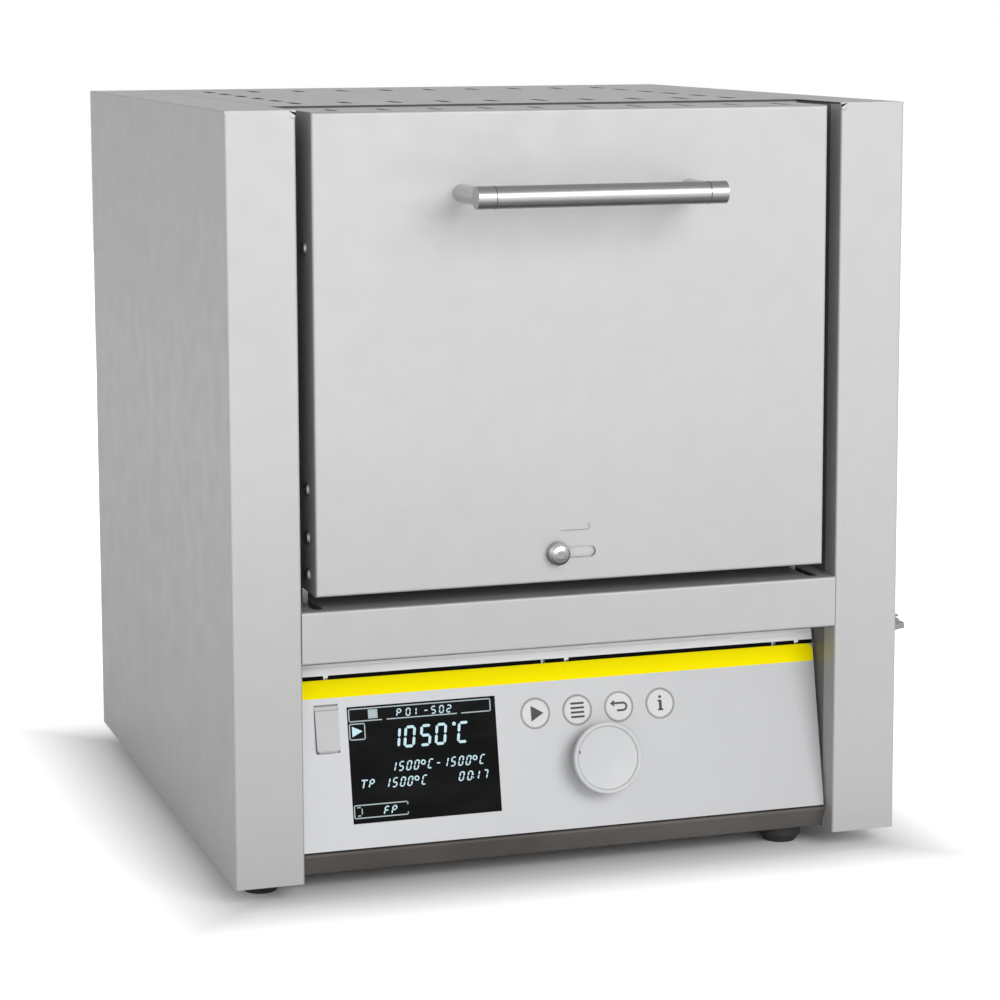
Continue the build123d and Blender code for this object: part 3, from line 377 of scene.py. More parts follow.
def fibre_board():
    """White vacuum-formed fibre: soft lumps, loose fibres and a few darker shots."""
    finish = Finish("fibre_board", Roughness=0.95)
    lumps = finish.noise(70.0, 5.0, 0.65)
    fibres = finish.noise(600.0, 6.0, 0.75, (1, 3, 1))
    shots = finish.noise(900.0, 1.0) > 0.72
    colour = finish.mix(finish.remap(lumps, 0.3, 0.7), (0.66, 0.63, 0.57, 1), (0.80, 0.78, 0.73, 1))
    colour = finish.mix(shots * 0.35, colour, (0.42, 0.36, 0.28, 1))
    relief = finish.bump(lumps + fibres * 0.5, 0.5, 0.5 * MM)
    return finish.dress(Base_Color=colour, Normal=relief)


def fired_ceramic():
    """Cast ceramic with a sandy skin and the brown bloom of use."""
    finish = Finish("fired_ceramic", Roughness=0.85)
    sand = finish.noise(1200.0, 4.0, 0.7)
    bloom = finish.noise(18.0, 4.0, 0.6)
    stops = (0.30, (0.64, 0.57, 0.46)), (0.55, (0.72, 0.67, 0.57)), (0.75, (0.76, 0.73, 0.66))
    colour = finish.ramp(bloom, *stops)
    grain = finish.mix(finish.remap(sand, 0.55, 0.75) * 0.3, colour, (0.40, 0.34, 0.27, 1))
    return finish.dress(Base_Color=grain, Normal=finish.bump(sand, 0.35, 0.2 * MM))


def oxidised_wire():
    """Resistance wire with its dull grey-brown oxide."""
    finish = Finish("oxidised_wire", Metallic=0.6)
    patches = finish.noise(160.0, 3.0)
    colour = finish.ramp(patches, (0.3, (0.16, 0.13, 0.115)), (0.7, (0.30, 0.275, 0.26)))
    return finish.dress(Base_Color=colour, Roughness=finish.remap(patches, 0.3, 0.7, 0.5, 0.75))


def moulded_rubber():
    """Black rubber with a little dust."""
    finish = Finish("moulded_rubber")
    dust = finish.noise(260.0, 4.0)
    colour = finish.mix(finish.remap(dust, 0.45, 0.75), (0.012, 0.012, 0.012, 1), (0.035, 0.034, 0.032, 1))
    return finish.dress(Base_Color=colour, Roughness=finish.remap(dust, 0.3, 0.7, 0.6, 0.85))


def circuit_board():
    """Green board with paler tracks."""
    finish = Finish("circuit_board", Roughness=0.4)
    inputs = {"Vector": finish.place(), "Scale": 300.0}
    tracks = finish.node("ShaderNodeTexVoronoi", {"distance": "CHEBYCHEV"}, inputs)
    colour = finish.mix(tracks > 0.4, (0.012, 0.10, 0.04, 1), (0.03, 0.20, 0.08, 1))
    return finish.dress(Base_Color=colour)


# Painted reflection: tone by how far the face looks up, from straight down at 0 to straight up at 1
BAR_PAINTED_REFLECTION = tuple((at, (tone, tone, tone)) for at, tone in (
    (0.0, 0.30), (0.12, 0.035), (0.30, 0.10), (0.46, 0.34), (0.58, 0.66), (0.66, 0.30), (0.92, 0.17)))
KNOB_PAINTED_REFLECTION = tuple((at, (tone, tone, tone)) for at, tone in (
    (0.0, 0.05), (0.35, 0.10), (0.50, 0.22), (0.66, 0.50), (0.9, 0.42)))

steel = linen_steel()
polished = turned_bar("polished_bar", BAR_PAINTED_REFLECTION)
polished_knob = turned_bar("polished_knob", KNOB_PAINTED_REFLECTION, 0.22, posts=0.0)
plate_steel = brushed_steel("plain_plate", 0.58, 0.34, (1, 40, 40))
slide_steel = brushed_steel("slide_plate", 0.46, 0.42, (1, 40, 40), 0.5)
nickel = brushed_steel("nickel_plate", 0.70, 0.14, (20, 20, 20))
zinc = galvanised_sheet()
dark_zinc = galvanised_sheet("heat_darkened_sheet", 0.12)
panel_paint = powder_coat("panel_grey", (0.635, 0.645, 0.665, 1), (0.61, 0.62, 0.64, 1), 0.42, shade_to_right=0.5)
rail_paint = powder_coat("rail_grey", (0.94, 0.95, 0.97, 1), (0.91, 0.92, 0.94, 1), 0.42)
# Near-black paint that stands for painted shade in the groove below the rail and in the notches at the
# columns' corners
painted_gap_shade = powder_coat("painted_gap_shade", grey(0.006), grey(0.004), 0.9, 0.05, 0.02)
yellow_paint = powder_coat("stripe_yellow", (1.0, 0.86, 0.0, 1), (1.0, 0.84, 0.0, 1), 0.5, 0.06, 0.02)
# Dark grey-brown paint on the undercut strip: painted shade for a strip that faces down, away from the light
undercut_shade_paint = powder_coat("undercut_painted_shade", (0.125, 0.115, 0.108, 1), (0.085, 0.078, 0.073, 1), 0.5, 0.3, 0.2)
pale_plastic = moulded("pale_plastic", (0.60, 0.61, 0.62, 1), (0.56, 0.57, 0.585, 1), 0.35)
black_plastic = moulded("black_plastic", (0.022, 0.022, 0.023, 1), (0.013, 0.013, 0.014, 1), 0.4)
switch_plastic = moulded("switch_grey", (0.30, 0.30, 0.305, 1), (0.26, 0.26, 0.265, 1), 0.45)
key_plastic = moulded("key_plastic", (0.66, 0.67, 0.68, 1), (0.63, 0.64, 0.65, 1), 0.35)
flap_plastic = moulded("flap_plastic", (0.51, 0.515, 0.525, 1), (0.48, 0.485, 0.495, 1), 0.4)
dark_ink = moulded("dark_ink", (0.045, 0.045, 0.048, 1), (0.035, 0.035, 0.037, 1), 0.6, 0.05)
grey_ink = moulded("grey_ink", (0.34, 0.34, 0.35, 1), (0.29, 0.29, 0.30, 1), 0.6, 0.05)
etched = moulded("etched_mark", grey(0.36), grey(0.30), 0.5, 0.05)
glass = display_glass()
segment_light = lit_segment("segment_light", (0.60, 0.86, 0.95, 1), 0.9)
segment_dim = lit_segment("segment_dim", (0.40, 0.49, 0.52, 1), 0.9)
fibre = fibre_board()
ceramic = fired_ceramic()
coil_wire = oxidised_wire()
rubber = moulded_rubber()
board = circuit_board()

FINISHES = {
    steel: ("left_side_panel", "right_side_panel", "top_cover", "front_sill", "door_skin", "rear_panel",
            "front_frame"),
    polished: ("handle_bar", "handle_posts"),
    polished_knob: ("slider_knob",),
    plate_steel: ("door_liner", "exhaust_flange"),
    slide_steel: ("slider_plate",),
    nickel: ("door_rivets", "handle_screws", "hinge_pins", "encoder_shaft", "usb_socket"),
    dark_zinc: ("inner_casing",),
    zinc: ("base_plate", "support_brackets", "hinge_arms", "hinge_brackets", "slider_guide", "panel_carrier"),
    panel_paint: ("control_bezel",),
    rail_paint: ("top_rail",),
    yellow_paint: ("accent_stripe",),
    undercut_shade_paint: ("undercut_strip",),
    pale_plastic: ("jog_knob",),
    flap_plastic: ("usb_cover",),
    key_plastic: ("play_key", "menu_key", "back_key", "info_key"),
    switch_plastic: ("main_switch_rocker",),
    black_plastic: ("main_switch_body", "power_inlet", "door_magnet", "door_switch",
                    "display_module", "encoder", "solid_state_relay"),
    glass: ("display_window",),
    fibre: ("chamber_collar", "door_insulation", "insulation_sides", "insulation_top", "insulation_bottom",
            "insulation_rear"),
    ceramic: ("heating_plates", "floor_plate", "roof_plate", "thermocouple", "exhaust_tube"),
    rubber: ("feet",),
    board: ("controller_board",),
}
for finish, names in FINISHES.items():
    for name in names:
        nodes[name].data.materials.clear()
        nodes[name].data.materials.append(finish)
        nodes[name].data.polygons.foreach_set("material_index", [0] * len(nodes[name].data.polygons))


# ---- Modelling helpers
def leave_edit():
    if bpy.context.object and bpy.context.object.mode != "OBJECT":
        bpy.ops.object.mode_set(mode="OBJECT")


def clear_selection():
    leave_edit()
    bpy.ops.object.select_all(action="DESELECT")


def select_only(*pieces):
    clear_selection()
    for piece in pieces:
        piece.select_set(True)
    bpy.context.view_layer.objects.active = pieces[0]


def link(piece):
    bpy.context.scene.collection.objects.link(piece)
    return piece


def twin(piece):
    """Copy of a piece, with its own mesh."""
    copy = piece.copy()
    copy.data = piece.data.copy()
    return link(copy)


def join(pieces, name):
    select_only(*pieces)
    if len(pieces) > 1:
        bpy.ops.object.join()
    joined = bpy.context.object
    joined.name = name
    joined.data.name = name
    return joined


def settle(piece, matrix=None):
    """Puts a piece in its place and leaves that place in its mesh."""
    if matrix is not None:
        piece.matrix_world = matrix @ piece.matrix_world
    select_only(piece)
    bpy.ops.object.transform_apply(location=True, rotation=True, scale=True)
    return piece


def dress(piece, material, body):
    piece.data.materials.clear()
    piece.data.materials.append(material)
    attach(piece, body)
    return piece


def fit(pieces, name, matrix, material, body):
    """Joins pieces into one, puts it in its place and dresses it."""
    return dress(settle(join(pieces, name), matrix), material, body)


def use(piece, kind, **settings):
    """Adds a modifier and applies it."""
    modifier = piece.modifiers.new(kind.lower(), kind)
    for name, value in settings.items():
        setattr(modifier, name, value)
    select_only(piece)
    bpy.ops.object.modifier_apply(modifier=modifier.name)
    return piece


def outward(piece, smooth=None):
    """Turns a closed piece's faces outwards, and smooths its edges below an angle."""
    select_only(piece)
    bpy.ops.object.mode_set(mode="EDIT")
    bpy.ops.mesh.select_all(action="SELECT")
    bpy.ops.mesh.normals_make_consistent(inside=False)
    bpy.ops.object.mode_set(mode="OBJECT")
    if smooth:
        bpy.ops.object.shade_smooth_by_angle(angle=radians(smooth))
    return piece


def block(size, place, turn=0.0):
    """Box of a size in millimetres with its middle at a place in metres, turned about z."""
    clear_selection()
    bpy.ops.mesh.primitive_cube_add(size=1, location=place, rotation=(0, 0, turn))
    made = bpy.context.object
    made.scale = [side * MM for side in size]
    bpy.ops.object.transform_apply(location=False, rotation=False, scale=True)
    return made


def flat_bar(x, y, length, width, turn=0.0, thick=0.08):
    """Thin bar in a drawing's own millimetres, lying on the drawing."""
    return block((length, width, thick), (x * MM, y * MM, thick * MM / 2), turn)


def flat_shape(points, name, thick=0.06):
    """Plate with the given outline, in a drawing's own millimetres."""
    mesh = bpy.data.meshes.new(name)
    mesh.from_pydata([(x * MM, y * MM, 0) for x, y in points], [], [range(len(points))])
    piece = link(bpy.data.objects.new(name, mesh))
    select_only(piece)
    bpy.ops.object.mode_set(mode="EDIT")
    bpy.ops.mesh.select_all(action="SELECT")
    bpy.ops.mesh.extrude_region_move(TRANSFORM_OT_translate={"value": (0, 0, thick * MM)})
    return outward(piece)


# ---- Read-out: seven-segment characters, each segment a bar with pointed ends
SEGMENTS = {
    "0": "abcdef", "1": "fe", "2": "abged", "5": "afgcd", "7": "abc", "P": "abefg", "S": "afgcd", "C": "afed",
    "F": "aefg", "-": "g",
}
SEGMENT_ENDS = {
    "a": ((0, 2), (1, 2)), "b": ((1, 1), (1, 2)), "c": ((1, 0), (1, 1)), "d": ((0, 0), (1, 0)),
    "e": ((0, 0), (0, 1)), "f": ((0, 1), (0, 2)), "g": ((0, 1), (1, 1)),
}


def segment(start, end, stroke):
    """Bar with pointed ends from one point to another, in millimetres."""
    start, end = Vector(start), Vector(end)
    along = (end - start).normalized()
    across = Vector((-along.y, along.x)) * stroke / 2
    gap = along * stroke * 0.12
    start, end = start + gap, end - gap
    tip = along * stroke / 2
    outline = [start, start + tip + across, end - tip + across, end, end - tip - across, start + tip - across]
    return flat_shape(outline, "segment")


def ring(x, y, radius, stroke, thick=0.06, sides=20):
    """Flattened ring lying on a drawing, in its millimetres."""
    clear_selection()
    bpy.ops.mesh.primitive_torus_add(location=(x * MM, y * MM, 0), major_segments=sides, minor_segments=6,
                                     major_radius=radius * MM, minor_radius=stroke * MM / 2)
    made = bpy.context.object
    made.scale = (1, 1, thick / stroke)
    bpy.ops.object.transform_apply(location=False, rotation=False, scale=True)
    return made


def characters(text, places, bottom, height, width, stroke, slant):
    """Segments of a line of characters whose lower left corners are at the places, in millimetres."""
    half = (height - stroke) / 2
    made = []
    for letter, x in zip(text, places):
        for key in SEGMENTS[letter]:
            ends = []
            for across, level in SEGMENT_ENDS[key]:
                ends.append(Vector((x + stroke / 2 + across * (width - stroke) + slant * level * half,
                                    bottom + stroke / 2 + level * half)))
            made.append(segment(*ends, stroke))
    return made


WINDOW_LEFT, WINDOW_TOP = -124.0, 77.2      # the window's upper left corner on the panel
READOUT_PLACE = panel_matrix(WINDOW_LEFT, WINDOW_TOP, -0.1)
SMALL, SMALL_STROKE = (5.4, 2.9), 0.72      # height and width of the small characters
SMALL_STEPS = (0.0, 2.3, 6.7, 11.0, 19.0)
LEAN, STRONG_LEAN = 0.13, 0.28


def on_window(across, down):
    """Drawing place from millimetres right of and below the window's upper left corner."""
    return across, -down


# Text, left edges, bottom, height, width, stroke and lean of each line
TITLE = ("P01-S02", (27.6, 32.9, 38.5, 43.1, 47.4, 52.0, 56.2), -7.1, 4.4, 2.8, 0.68, 0.1)
TEMPERATURE = ("1050C", (27.1, 30.6, 39.7, 48.4, 61.2), -24.3, 11.9, 6.5, 1.5, LEAN)
LINES = [
    TITLE,
    TEMPERATURE,
    ("1500C", [24.4 + step for step in SMALL_STEPS], -36.7, *SMALL, SMALL_STROKE, STRONG_LEAN),
    ("1500C", [54.1 + step for step in SMALL_STEPS], -36.7, *SMALL, SMALL_STROKE, STRONG_LEAN),
    ("P", (9.4,), -44.6, 4.9, 2.9, 0.75, STRONG_LEAN),
    ("1500C", (20.3, 22.6, 27.0, 31.2, 39.3), -45.2, *SMALL, SMALL_STROKE, STRONG_LEAN),
    ("0017", (60.6, 65.4, 71.6, 74.2), -45.0, 5.2, 3.0, SMALL_STROKE, STRONG_LEAN),
    ("FP", (17.0, 21.3), -59.5, 4.7, 2.8, SMALL_STROKE, STRONG_LEAN),
]
bright = [piece for line in LINES for piece in characters(*line)]
bright.append(ring(60.2, -13.4, 0.62, 0.85))
bright += [ring(x, y, 1.1, 0.7) for x, y in ((41.3, -32.9), (71.0, -32.9), (37.1, -41.3))]
bright.append(segment((48.8, -34.0), (51.1, -34.0), 0.75))
bright += [flat_bar(7.6, -40.1, 3.4, 0.8, thick=0.06), segment((6.4, -44.5), (7.5, -40.3), 0.8)]
for level in (-43.6, -41.9):
    bright.append(segment((68.9, level), (69.9, level), 0.8))
play_mark = [(2.3, 10.6), (2.3, 16.3), (8.1, 13.4)]
bright.append(flat_shape([on_window(*point) for point in play_mark], "play_mark"))
fit(bright, "readout_characters", READOUT_PLACE, segment_light, "housing")

# Lines of the frames, each a run of points right of and below the window's corner
FRAME_STROKE = 0.62
FRAME_RUNS = [
    [(0.9, 17.8), (9.4, 17.8), (9.4, 9.3), (0.9, 9.3), (0.9, 17.8)],
    [(0.9, 7.9), (19.7, 7.9)],
    [(21.8, 7.9), (62.5, 7.9)],
    [(64.5, 7.9), (81.6, 7.9)],
    [(0.9, 7.9), (0.9, 1.2), (81.6, 1.2), (81.6, 7.9)],
    [(31.0, 58.7), (31.0, 60.3), (0.8, 60.3), (0.8, 53.4), (31.0, 53.4), (31.0, 55.2)],
    [(2.4, 59.0), (4.6, 59.0)],
    [(5.1, 58.5), (5.1, 55.0)],
    [(4.6, 54.5), (2.2, 54.5)],
]
dim = []
for run in FRAME_RUNS:
    dim += [segment(on_window(*a), on_window(*b), FRAME_STROKE) for a, b in zip(run, run[1:])]
dim.append(flat_bar(*on_window(14.4, 4.4), 5.3, 4.9))
fit(dim, "readout_frames", READOUT_PLACE, segment_dim, "housing")

# ---- Marks on the keys
KEY_X, KEY_PITCH, KEY_UP, KEY_OUT = -16.5, 24.7, 65.75, 0.28


def mark_key(number, shapes, name, body):
    place = panel_matrix(KEY_X + KEY_PITCH * number, KEY_UP, KEY_OUT)
    fit(shapes, name, place, dark_ink, body)


triangle = flat_shape([(-2.6, -4.4), (4.7, 0.0), (-2.6, 4.4)], "triangle")
mark_key(0, [triangle], "play_mark_plate", "play_button")
menu_lines = [flat_bar(0, level, 7.9, 1.15) for level in (-3.75, -1.25, 1.25, 3.75)]
mark_key(1, menu_lines, "menu_lines", "menu_button")
TURN_X, TURN_OUTER, TURN_INNER = 2.4, 2.65, 1.45
half_turn = [pi * step / 8 for step in range(-4, 5)]
turn = [(TURN_X + TURN_OUTER * cos(angle), TURN_OUTER * sin(angle)) for angle in reversed(half_turn)]
turn += [(TURN_X + TURN_INNER * cos(angle), TURN_INNER * sin(angle)) for angle in half_turn]
turn_back = [flat_bar(-0.4, 2.05, 5.8, 1.2), flat_bar(0.6, -2.05, 3.8, 1.2), flat_shape(turn, "turn")]
turn_back.append(flat_shape([(-5.2, 2.05), (-2.7, 4.0), (-2.7, 0.1)], "arrow"))
mark_key(2, turn_back, "back_arrow", "back_button")
DOT_RADIUS, DOT_HEIGHT = 0.85, 3.7
circle = [(cos(step * pi / 8), sin(step * pi / 8)) for step in range(16)]
dot = flat_shape([(DOT_RADIUS * x, DOT_HEIGHT + DOT_RADIUS * y) for x, y in circle], "dot")
letter = [dot, flat_bar(0.1, -0.9, 1.7, 5.6), flat_bar(-0.6, 1.5, 1.7, 0.9), flat_bar(0.1, -3.5, 3.2, 0.9)]
mark_key(3, letter, "information_mark", "info_button")

KEY_RADIUS, RIM_STROKE = 7.8, 0.94
RIM_RADIUS = KEY_RADIUS + 0.53
rims = [ring(KEY_X + KEY_PITCH * number, KEY_UP, RIM_RADIUS, RIM_STROKE, 0.16, 48) for number in range(4)]
fit(rims, "key_rims", panel_matrix(0, 0), grey_ink, "housing")

# ---- Painted shade of the groove between the stripe and the rail: a black strip, with gaps at the rail's clips
GROOVE_UP, GROOVE_WIDTH, PANEL_HALF, CLIP_WIDTH = 94.15, 2.2, 153.0, 2.6
clips = (-148.8, -134.8, -9.9, 3.8, 129.2, 143.2)
starts = [-PANEL_HALF] + [clip + CLIP_WIDTH / 2 for clip in clips]
ends = [clip - CLIP_WIDTH / 2 for clip in clips] + [PANEL_HALF]
strips = [flat_bar((a + b) / 2, GROOVE_UP, b - a, GROOVE_WIDTH, thick=0.34) for a, b in zip(starts, ends)]
fit(strips, "groove_shade_strip", panel_matrix(0, 0, -0.3), painted_gap_shade, "housing")

# ---- Top edge of the rail, folded up behind the sill
EDGE_LOW, EDGE_HIGH = 100.0, 101.5
edge = flat_bar(0, (EDGE_LOW + EDGE_HIGH) / 2, 2 * PANEL_HALF, EDGE_HIGH - EDGE_LOW, thick=0.3)
fit([edge], "rail_edge", panel_matrix(0, 0, -0.32), rail_paint, "housing")

# ---- Jog wheel: a dished knob with a raised rim, narrower below
JOG_X, JOG_UP = 20.5, 38.6


def turned_piece(profile, name, steps=72):
    """Solid of revolution about the drawing's z from a closed profile of radius and height."""
    mesh = bpy.data.meshes.new(name)
    edges = [(i, (i + 1) % len(profile)) for i in range(len(profile))]
    if profile[0][0] == 0 and profile[-1][0] == 0:
        edges.pop()
    mesh.from_pydata([(r * MM, 0, z * MM) for r, z in profile], edges, [])
    piece = link(bpy.data.objects.new(name, mesh))
    use(piece, "SCREW", axis="Z", screw_offset=0, steps=steps, render_steps=steps, use_merge_vertices=True,
        merge_threshold=0.002 * MM, use_normal_calculate=True)
    return outward(piece, smooth=25)


DISHED_FACE = [(0, 11.0), (9.0, 11.02), (15.6, 11.15), (17.5, 11.3)]
RAISED_RIM = [(17.8, 11.8), (18.2, 12.0), (19.1, 12.0), (19.7, 11.7), (20.0, 11.1), (20.0, 9.6), (19.4, 8.9)]
WAIST = [(16.8, 7.6), (16.2, 1.2), (14.6, 1.2), (14.6, 9.5)]
SHAFT_SOCKET = [(6.0, 9.5), (6.0, 2.2), (3.05, 2.2), (3.05, 10.2), (0, 10.2)]
knob = turned_piece(DISHED_FACE + RAISED_RIM + WAIST + SHAFT_SOCKET, "jog_wheel_form")
fit([knob], "jog_wheel_form", panel_matrix(JOG_X, JOG_UP), pale_plastic, "jog_wheel")
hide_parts("jog_knob")
# Dark mark of painted shade for the finger dimple inside the rim
mark = flat_bar(-16.3, 4.4, 0.7, 2.0, 0.25, thick=0.12)
fit([mark], "finger_dimple_shade", panel_matrix(JOG_X, JOG_UP, 11.16), dark_ink, "jog_wheel")
# Grey ring of painted shade in the crease at the foot of the rim
line_radius, line_height = DISHED_FACE[-1]
line = ring(0, 0, line_radius, 0.5, 0.2, 72)
fit([line], "rim_crease_shade", panel_matrix(JOG_X, JOG_UP, line_height), grey_ink, "jog_wheel")

# ---- Seams of the handle's end pieces
low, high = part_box("handle_bar")
bar_middle = (low + high) / 2
bar_radius = (high.z - low.z) / 2
SEAM_REACH = 59.5
seams = []
for side in (-1, 1):
    seam = ring(0, 0, bar_radius / MM - 0.02, 0.3, 0.5, 40)
    place = (CASING_MIDDLE + side * SEAM_REACH * MM, bar_middle.y, bar_middle.z)
    seam.matrix_world = Matrix.Translation(place) @ Matrix.Rotation(pi / 2, 4, "Y")
    seams.append(seam)
fit(seams, "handle_seams", None, dark_ink, "door")

# ---- Closed seams where each column's folds meet, at its upper inner corner, each with a black wedge of painted shade for its notch
CORNER_X, CORNER_HEIGHT, RELIEF = 156.1, 411.4, 1.58
plugs, notch_shades = [], []
for side in (-1, 1):
    clear_selection()
    bpy.ops.mesh.primitive_cylinder_add(vertices=32, radius=RELIEF * MM, depth=1.1 * MM,
                                        location=on_casing(side * CORNER_X, 0.53, CORNER_HEIGHT),
                                        rotation=(pi / 2, 0, 0))
    plugs.append(use(bpy.context.object, "BEVEL", width=0.05 * MM, segments=1, limit_method="ANGLE"))
    # Black wedge of painted shade where the corner's notch lies
    notch_shades.append(flat_shape([(side * 154.6, 412.9), (side * 154.6, 411.2), (side * 158.2, 413.7)], "wedge"))
fit(plugs, "relief_plugs", None, steel, "housing")
fit(notch_shades, "corner_notch_shades", door_matrix(0, 0, -0.02), painted_gap_shade, "housing")

# ---- Wedge scale engraved above the air slider
WEDGE_HEIGHT = 184.2
wedge = [flat_bar(-1.6, WEDGE_HEIGHT, 15.8, 0.65), flat_bar(7.2, WEDGE_HEIGHT + 2.0, 0.95, 3.8)]
fit(wedge, "air_wedge_mark", door_matrix(0, 0, -0.03), etched, "door")

# ---- Heating coils: a wire wound round each straight run, and plain bends between the runs
CHAMBER_HALF, GROOVE_MIDDLE = 100.0, 2.8
RUNS, RUN_PITCH, FIRST_RUN = 6, 20.8, 232.35
COIL_FRONT, COIL_BACK = 107.0, 253.0
COIL_RADIUS, WIRE_RADIUS, COIL_PITCH = 1.9, 0.45, 2.2
BEND_START, BEND_REACH = 4.0, 9.6           # lengths of a bend's two handles


def wound_run(start, end):
    """Helix of wire from start to end, both at one height and one x."""
    length = (end - start) / MM
    turns = round(length / COIL_PITCH)
    clear_selection()
    bpy.ops.mesh.primitive_circle_add(vertices=6, radius=WIRE_RADIUS * MM, rotation=(pi / 2, 0, 0),
                                      location=(COIL_RADIUS * MM, 0, 0))
    wire = bpy.context.object
    bpy.ops.object.transform_apply(location=True, rotation=True, scale=True)
    use(wire, "SCREW", axis="Z", screw_offset=length / turns * MM, iterations=turns,
        steps=11, render_steps=11, use_merge_vertices=False, use_normal_calculate=True)
    return wire


def coil_side(sign, name):
    """Heating wire of one side: its wound runs, and a plain bend from each run to the next."""
    x = sign * (CHAMBER_HALF + GROOVE_MIDDLE)
    first = wound_run(COIL_FRONT * MM, COIL_BACK * MM)
    wires = [first] + [twin(first) for run in range(1, RUNS)]
    for run, wire in enumerate(wires):
        place = on_casing(x, COIL_FRONT, FIRST_RUN + RUN_PITCH * run)
        wire.matrix_world = Matrix.Translation(place) @ Matrix.Rotation(-pi / 2, 4, "X")
    for run in range(RUNS - 1):
        end, away = (COIL_FRONT, -1) if run % 2 == 0 else (COIL_BACK, 1)
        low = FIRST_RUN + RUN_PITCH * run
        high = low + RUN_PITCH
        curve = bpy.data.curves.new("bend", "CURVE")
        curve.dimensions = "3D"
        curve.bevel_depth = WIRE_RADIUS * MM
        curve.bevel_resolution = 1
        spline = curve.splines.new("BEZIER")
        spline.bezier_points.add(1)
        for point, height, other in zip(spline.bezier_points, (low, high), (high, low)):
            point.co = on_casing(x, end, height)
            out = on_casing(x, end + away * BEND_REACH, height + (other - height) * 0.08)
            back = on_casing(x, end - away * BEND_START, height)
            point.handle_left, point.handle_right = (out, back) if height == high else (back, out)
        select_only(link(bpy.data.objects.new("bend", curve)))
        bpy.ops.object.convert(target="MESH")
        wires.append(bpy.context.object)
    return fit(wires, name, None, coil_wire, "housing")


for coil in (coil_side(-1, "left_coils"), coil_side(1, "right_coils")):
    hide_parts("heating_wires")

# ---- Screws on the rear panel, with cross recesses
SCREW_RADIUS, SCREW_HEIGHT = 3.5, 2.0
low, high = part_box("rear_screws")
lowest, highest = low.z + SCREW_RADIUS * MM, high.z - SCREW_RADIUS * MM
rows = [lowest + (highest - lowest) * step / 3 for step in range(4)]
columns = (low.x + SCREW_RADIUS * MM, high.x - SCREW_RADIUS * MM)


def cross_head():
    """Domed screw head with a cross recess, its face along +Z."""
    clear_selection()
    bpy.ops.mesh.primitive_uv_sphere_add(segments=24, ring_count=12, radius=SCREW_RADIUS * MM)
    head = bpy.context.object
    bpy.ops.object.mode_set(mode="EDIT")
    bpy.ops.mesh.select_all(action="SELECT")
    bpy.ops.mesh.bisect(plane_co=(0, 0, 0), plane_no=(0, 0, 1), clear_inner=True, use_fill=True)
    bpy.ops.object.mode_set(mode="OBJECT")
    head.scale = (1, 1, SCREW_HEIGHT / SCREW_RADIUS)
    cutters = [block((3.6, 0.8, 2.2), (0, 0, SCREW_HEIGHT * MM), turn) for turn in (0, pi / 2)]
    cutter = settle(join(cutters, "cutter"))
    select_only(head)
    bpy.ops.object.transform_apply(location=True, rotation=True, scale=True)
    use(head, "BOOLEAN", object=cutter, operation="DIFFERENCE", solver="EXACT", use_self=True)
    bpy.data.objects.remove(cutter)
    select_only(head)
    bpy.ops.object.shade_smooth_by_angle(angle=radians(40))
    return head


heads = []
pattern = cross_head()
for x in columns:
    for z in rows:
        head = twin(pattern)
        place = Matrix.Translation((x, low.y, z)) @ Matrix.Rotation(-pi / 2, 4, "X")
        any_turn = x * 40 + z * 17          # so that no two recesses line up
        head.matrix_world = place @ Matrix.Rotation(any_turn, 4, "Z")
        heads.append(head)
bpy.data.objects.remove(pattern)
screws = fit(heads, "rear_screw_heads", None, nickel, "housing")
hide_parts("rear_screws")

# ---- Pins of the mains inlet
INLET_X, INLET_HEIGHT, PIN_DEPTH = 128.0, 46.0, 383.2
PIN_SIZE = (2.2, 12.6, 4.2)
pins = []
for x, height in ((-7, -3), (7, -3), (0, 3.5)):
    pin = block(PIN_SIZE, on_casing(INLET_X + x, PIN_DEPTH, INLET_HEIGHT + height))
    pins.append(use(pin, "BEVEL", width=0.5 * MM, segments=2))
fit(pins, "inlet_pins", None, nickel, "housing")

# ---- Floor, lights and camera
FLOOR_SIZE = 8.0
HALF_WIDTH, HALF_DEPTH = 0.1925, 0.19
# How much whiter the floor looks than its light makes it, close to the casing and farther out
NEAR_START, NEAR_END, NEAR_LIFT = -0.045, 0.09, 0.78
FAR_END, FAR_LIFT = 0.5, 0.22
SKY_LEVEL = 0.30
clear_selection()
bpy.ops.mesh.primitive_plane_add(size=FLOOR_SIZE, location=(0, 0, 0))
floor = bpy.context.object
floor.name = "floor"
floor_finish = Finish("studio_floor", Roughness=0.9, Specular_IOR_Level=0.1, Emission_Strength=1.0)
x, y, z = floor_finish.axes()
beyond = (abs(x - CASING_MIDDLE) - HALF_WIDTH).larger(abs(y) - HALF_DEPTH)
lift = floor_finish.remap(beyond, NEAR_START, NEAR_END, 0.0, NEAR_LIFT, "SMOOTHERSTEP")
lift = lift + floor_finish.remap(beyond, 0.0, FAR_END, 0.0, FAR_LIFT, "SMOOTHERSTEP")
lift = lift * floor_finish.seen()
cloud = floor_finish.noise(3.0, 2.0)
white = floor_finish.node("ShaderNodeCombineXYZ", inputs={0: lift, 1: lift, 2: lift})
floor_finish.dress(Base_Color=floor_finish.mix(cloud, grey(0.78), grey(0.80)), Emission_Color=white)
floor.data.materials.append(floor_finish.material)

world = bpy.data.worlds.new("studio")
bpy.context.scene.world = world
world.use_nodes = True
sky = Nodes(world.node_tree)
background = sky.tree.nodes["Background"]
background.inputs["Color"].default_value = grey(1.0)
sky.feed(background.inputs["Strength"], sky.remap(sky.seen(), 0.0, 1.0, SKY_LEVEL, 1.0))


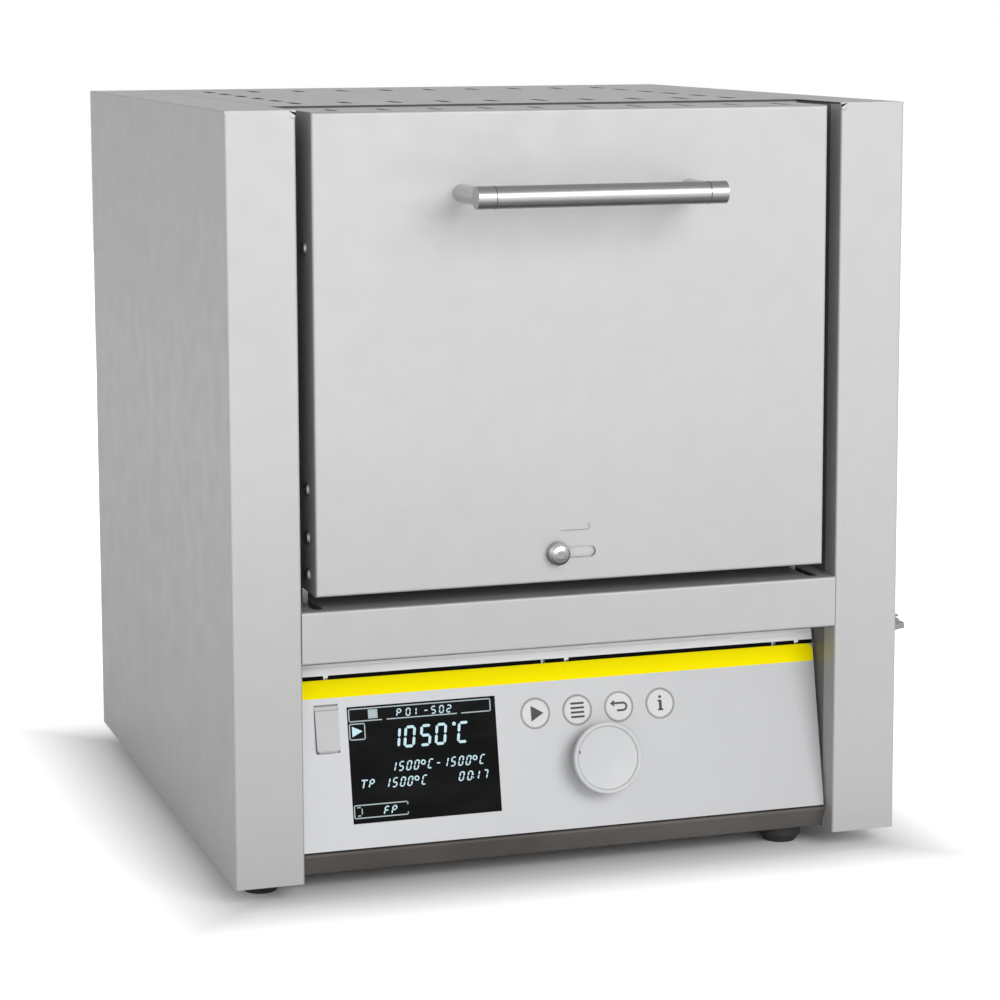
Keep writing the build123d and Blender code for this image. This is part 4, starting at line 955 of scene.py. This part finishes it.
def softbox(name, place, aim, size, power):
    """Rectangular lamp at a place, turned to its aim, with its size in metres and its power in watts."""
    lamp = bpy.data.lights.new(name, "AREA")
    lamp.shape = "RECTANGLE"
    lamp.size, lamp.size_y = size
    lamp.energy = power
    holder = link(bpy.data.objects.new(name, lamp))
    holder.location = place
    holder.rotation_euler = (Vector(aim) - Vector(place)).to_track_quat("-Z", "Y").to_euler()


softbox("key_light", (0.8, -2.4, 1.35), (0, 0, 0.2), (1.8, 1.4), 40)
softbox("low_light", (-0.6, -2.3, 0.45), (0, 0, 0.15), (1.2, 0.7), 8)
softbox("fill_light", (-1.9, -1.0, 0.9), (0, 0, 0.2), (1.2, 1.2), 2.6)
softbox("back_light", (0.4, 2.4, 0.3), (0, 0, 0.2), (1.4, 0.5), 9)
softbox("top_light", (-0.4, 0.3, 2.2), (0, 0, 0.3), (1.6, 1.6), 0.4)

CASING_WIDTH = 385.0
CAMERA_PLACE = (-0.8497, -3.8069, 1.2138)       # in casing widths, from the casing's lower front left corner
CAMERA_YAW, CAMERA_PITCH, CAMERA_ROLL = 0.3140, 0.1353, -0.0030
CAMERA_FOCAL = 2.897                            # in picture widths
PRINCIPAL_RISE = 0.10                           # of the picture's width, above its middle
SENSOR = 36.0

camera_data = bpy.data.cameras.new("camera")
camera = link(bpy.data.objects.new("camera", camera_data))
place = [value * CASING_WIDTH for value in CAMERA_PLACE]
ahead = Vector((sin(CAMERA_YAW) * cos(CAMERA_PITCH), cos(CAMERA_YAW) * cos(CAMERA_PITCH), -sin(CAMERA_PITCH)))
level_right = Vector((cos(CAMERA_YAW), -sin(CAMERA_YAW), 0))
level_up = level_right.cross(ahead)
right = level_right * cos(CAMERA_ROLL) + level_up * sin(CAMERA_ROLL)
up = level_up * cos(CAMERA_ROLL) - level_right * sin(CAMERA_ROLL)
basis = Matrix((right, up, -ahead)).transposed().to_4x4()
camera.matrix_world = Matrix.Translation(on_casing(place[0] - CASING_WIDTH / 2, place[1], place[2])) @ basis
camera_data.sensor_width = SENSOR
camera_data.lens = CAMERA_FOCAL * SENSOR
camera_data.shift_y = -PRINCIPAL_RISE
camera_data.clip_end = 50
bpy.context.scene.camera = camera
bpy.context.scene.view_settings.view_transform = "Standard"
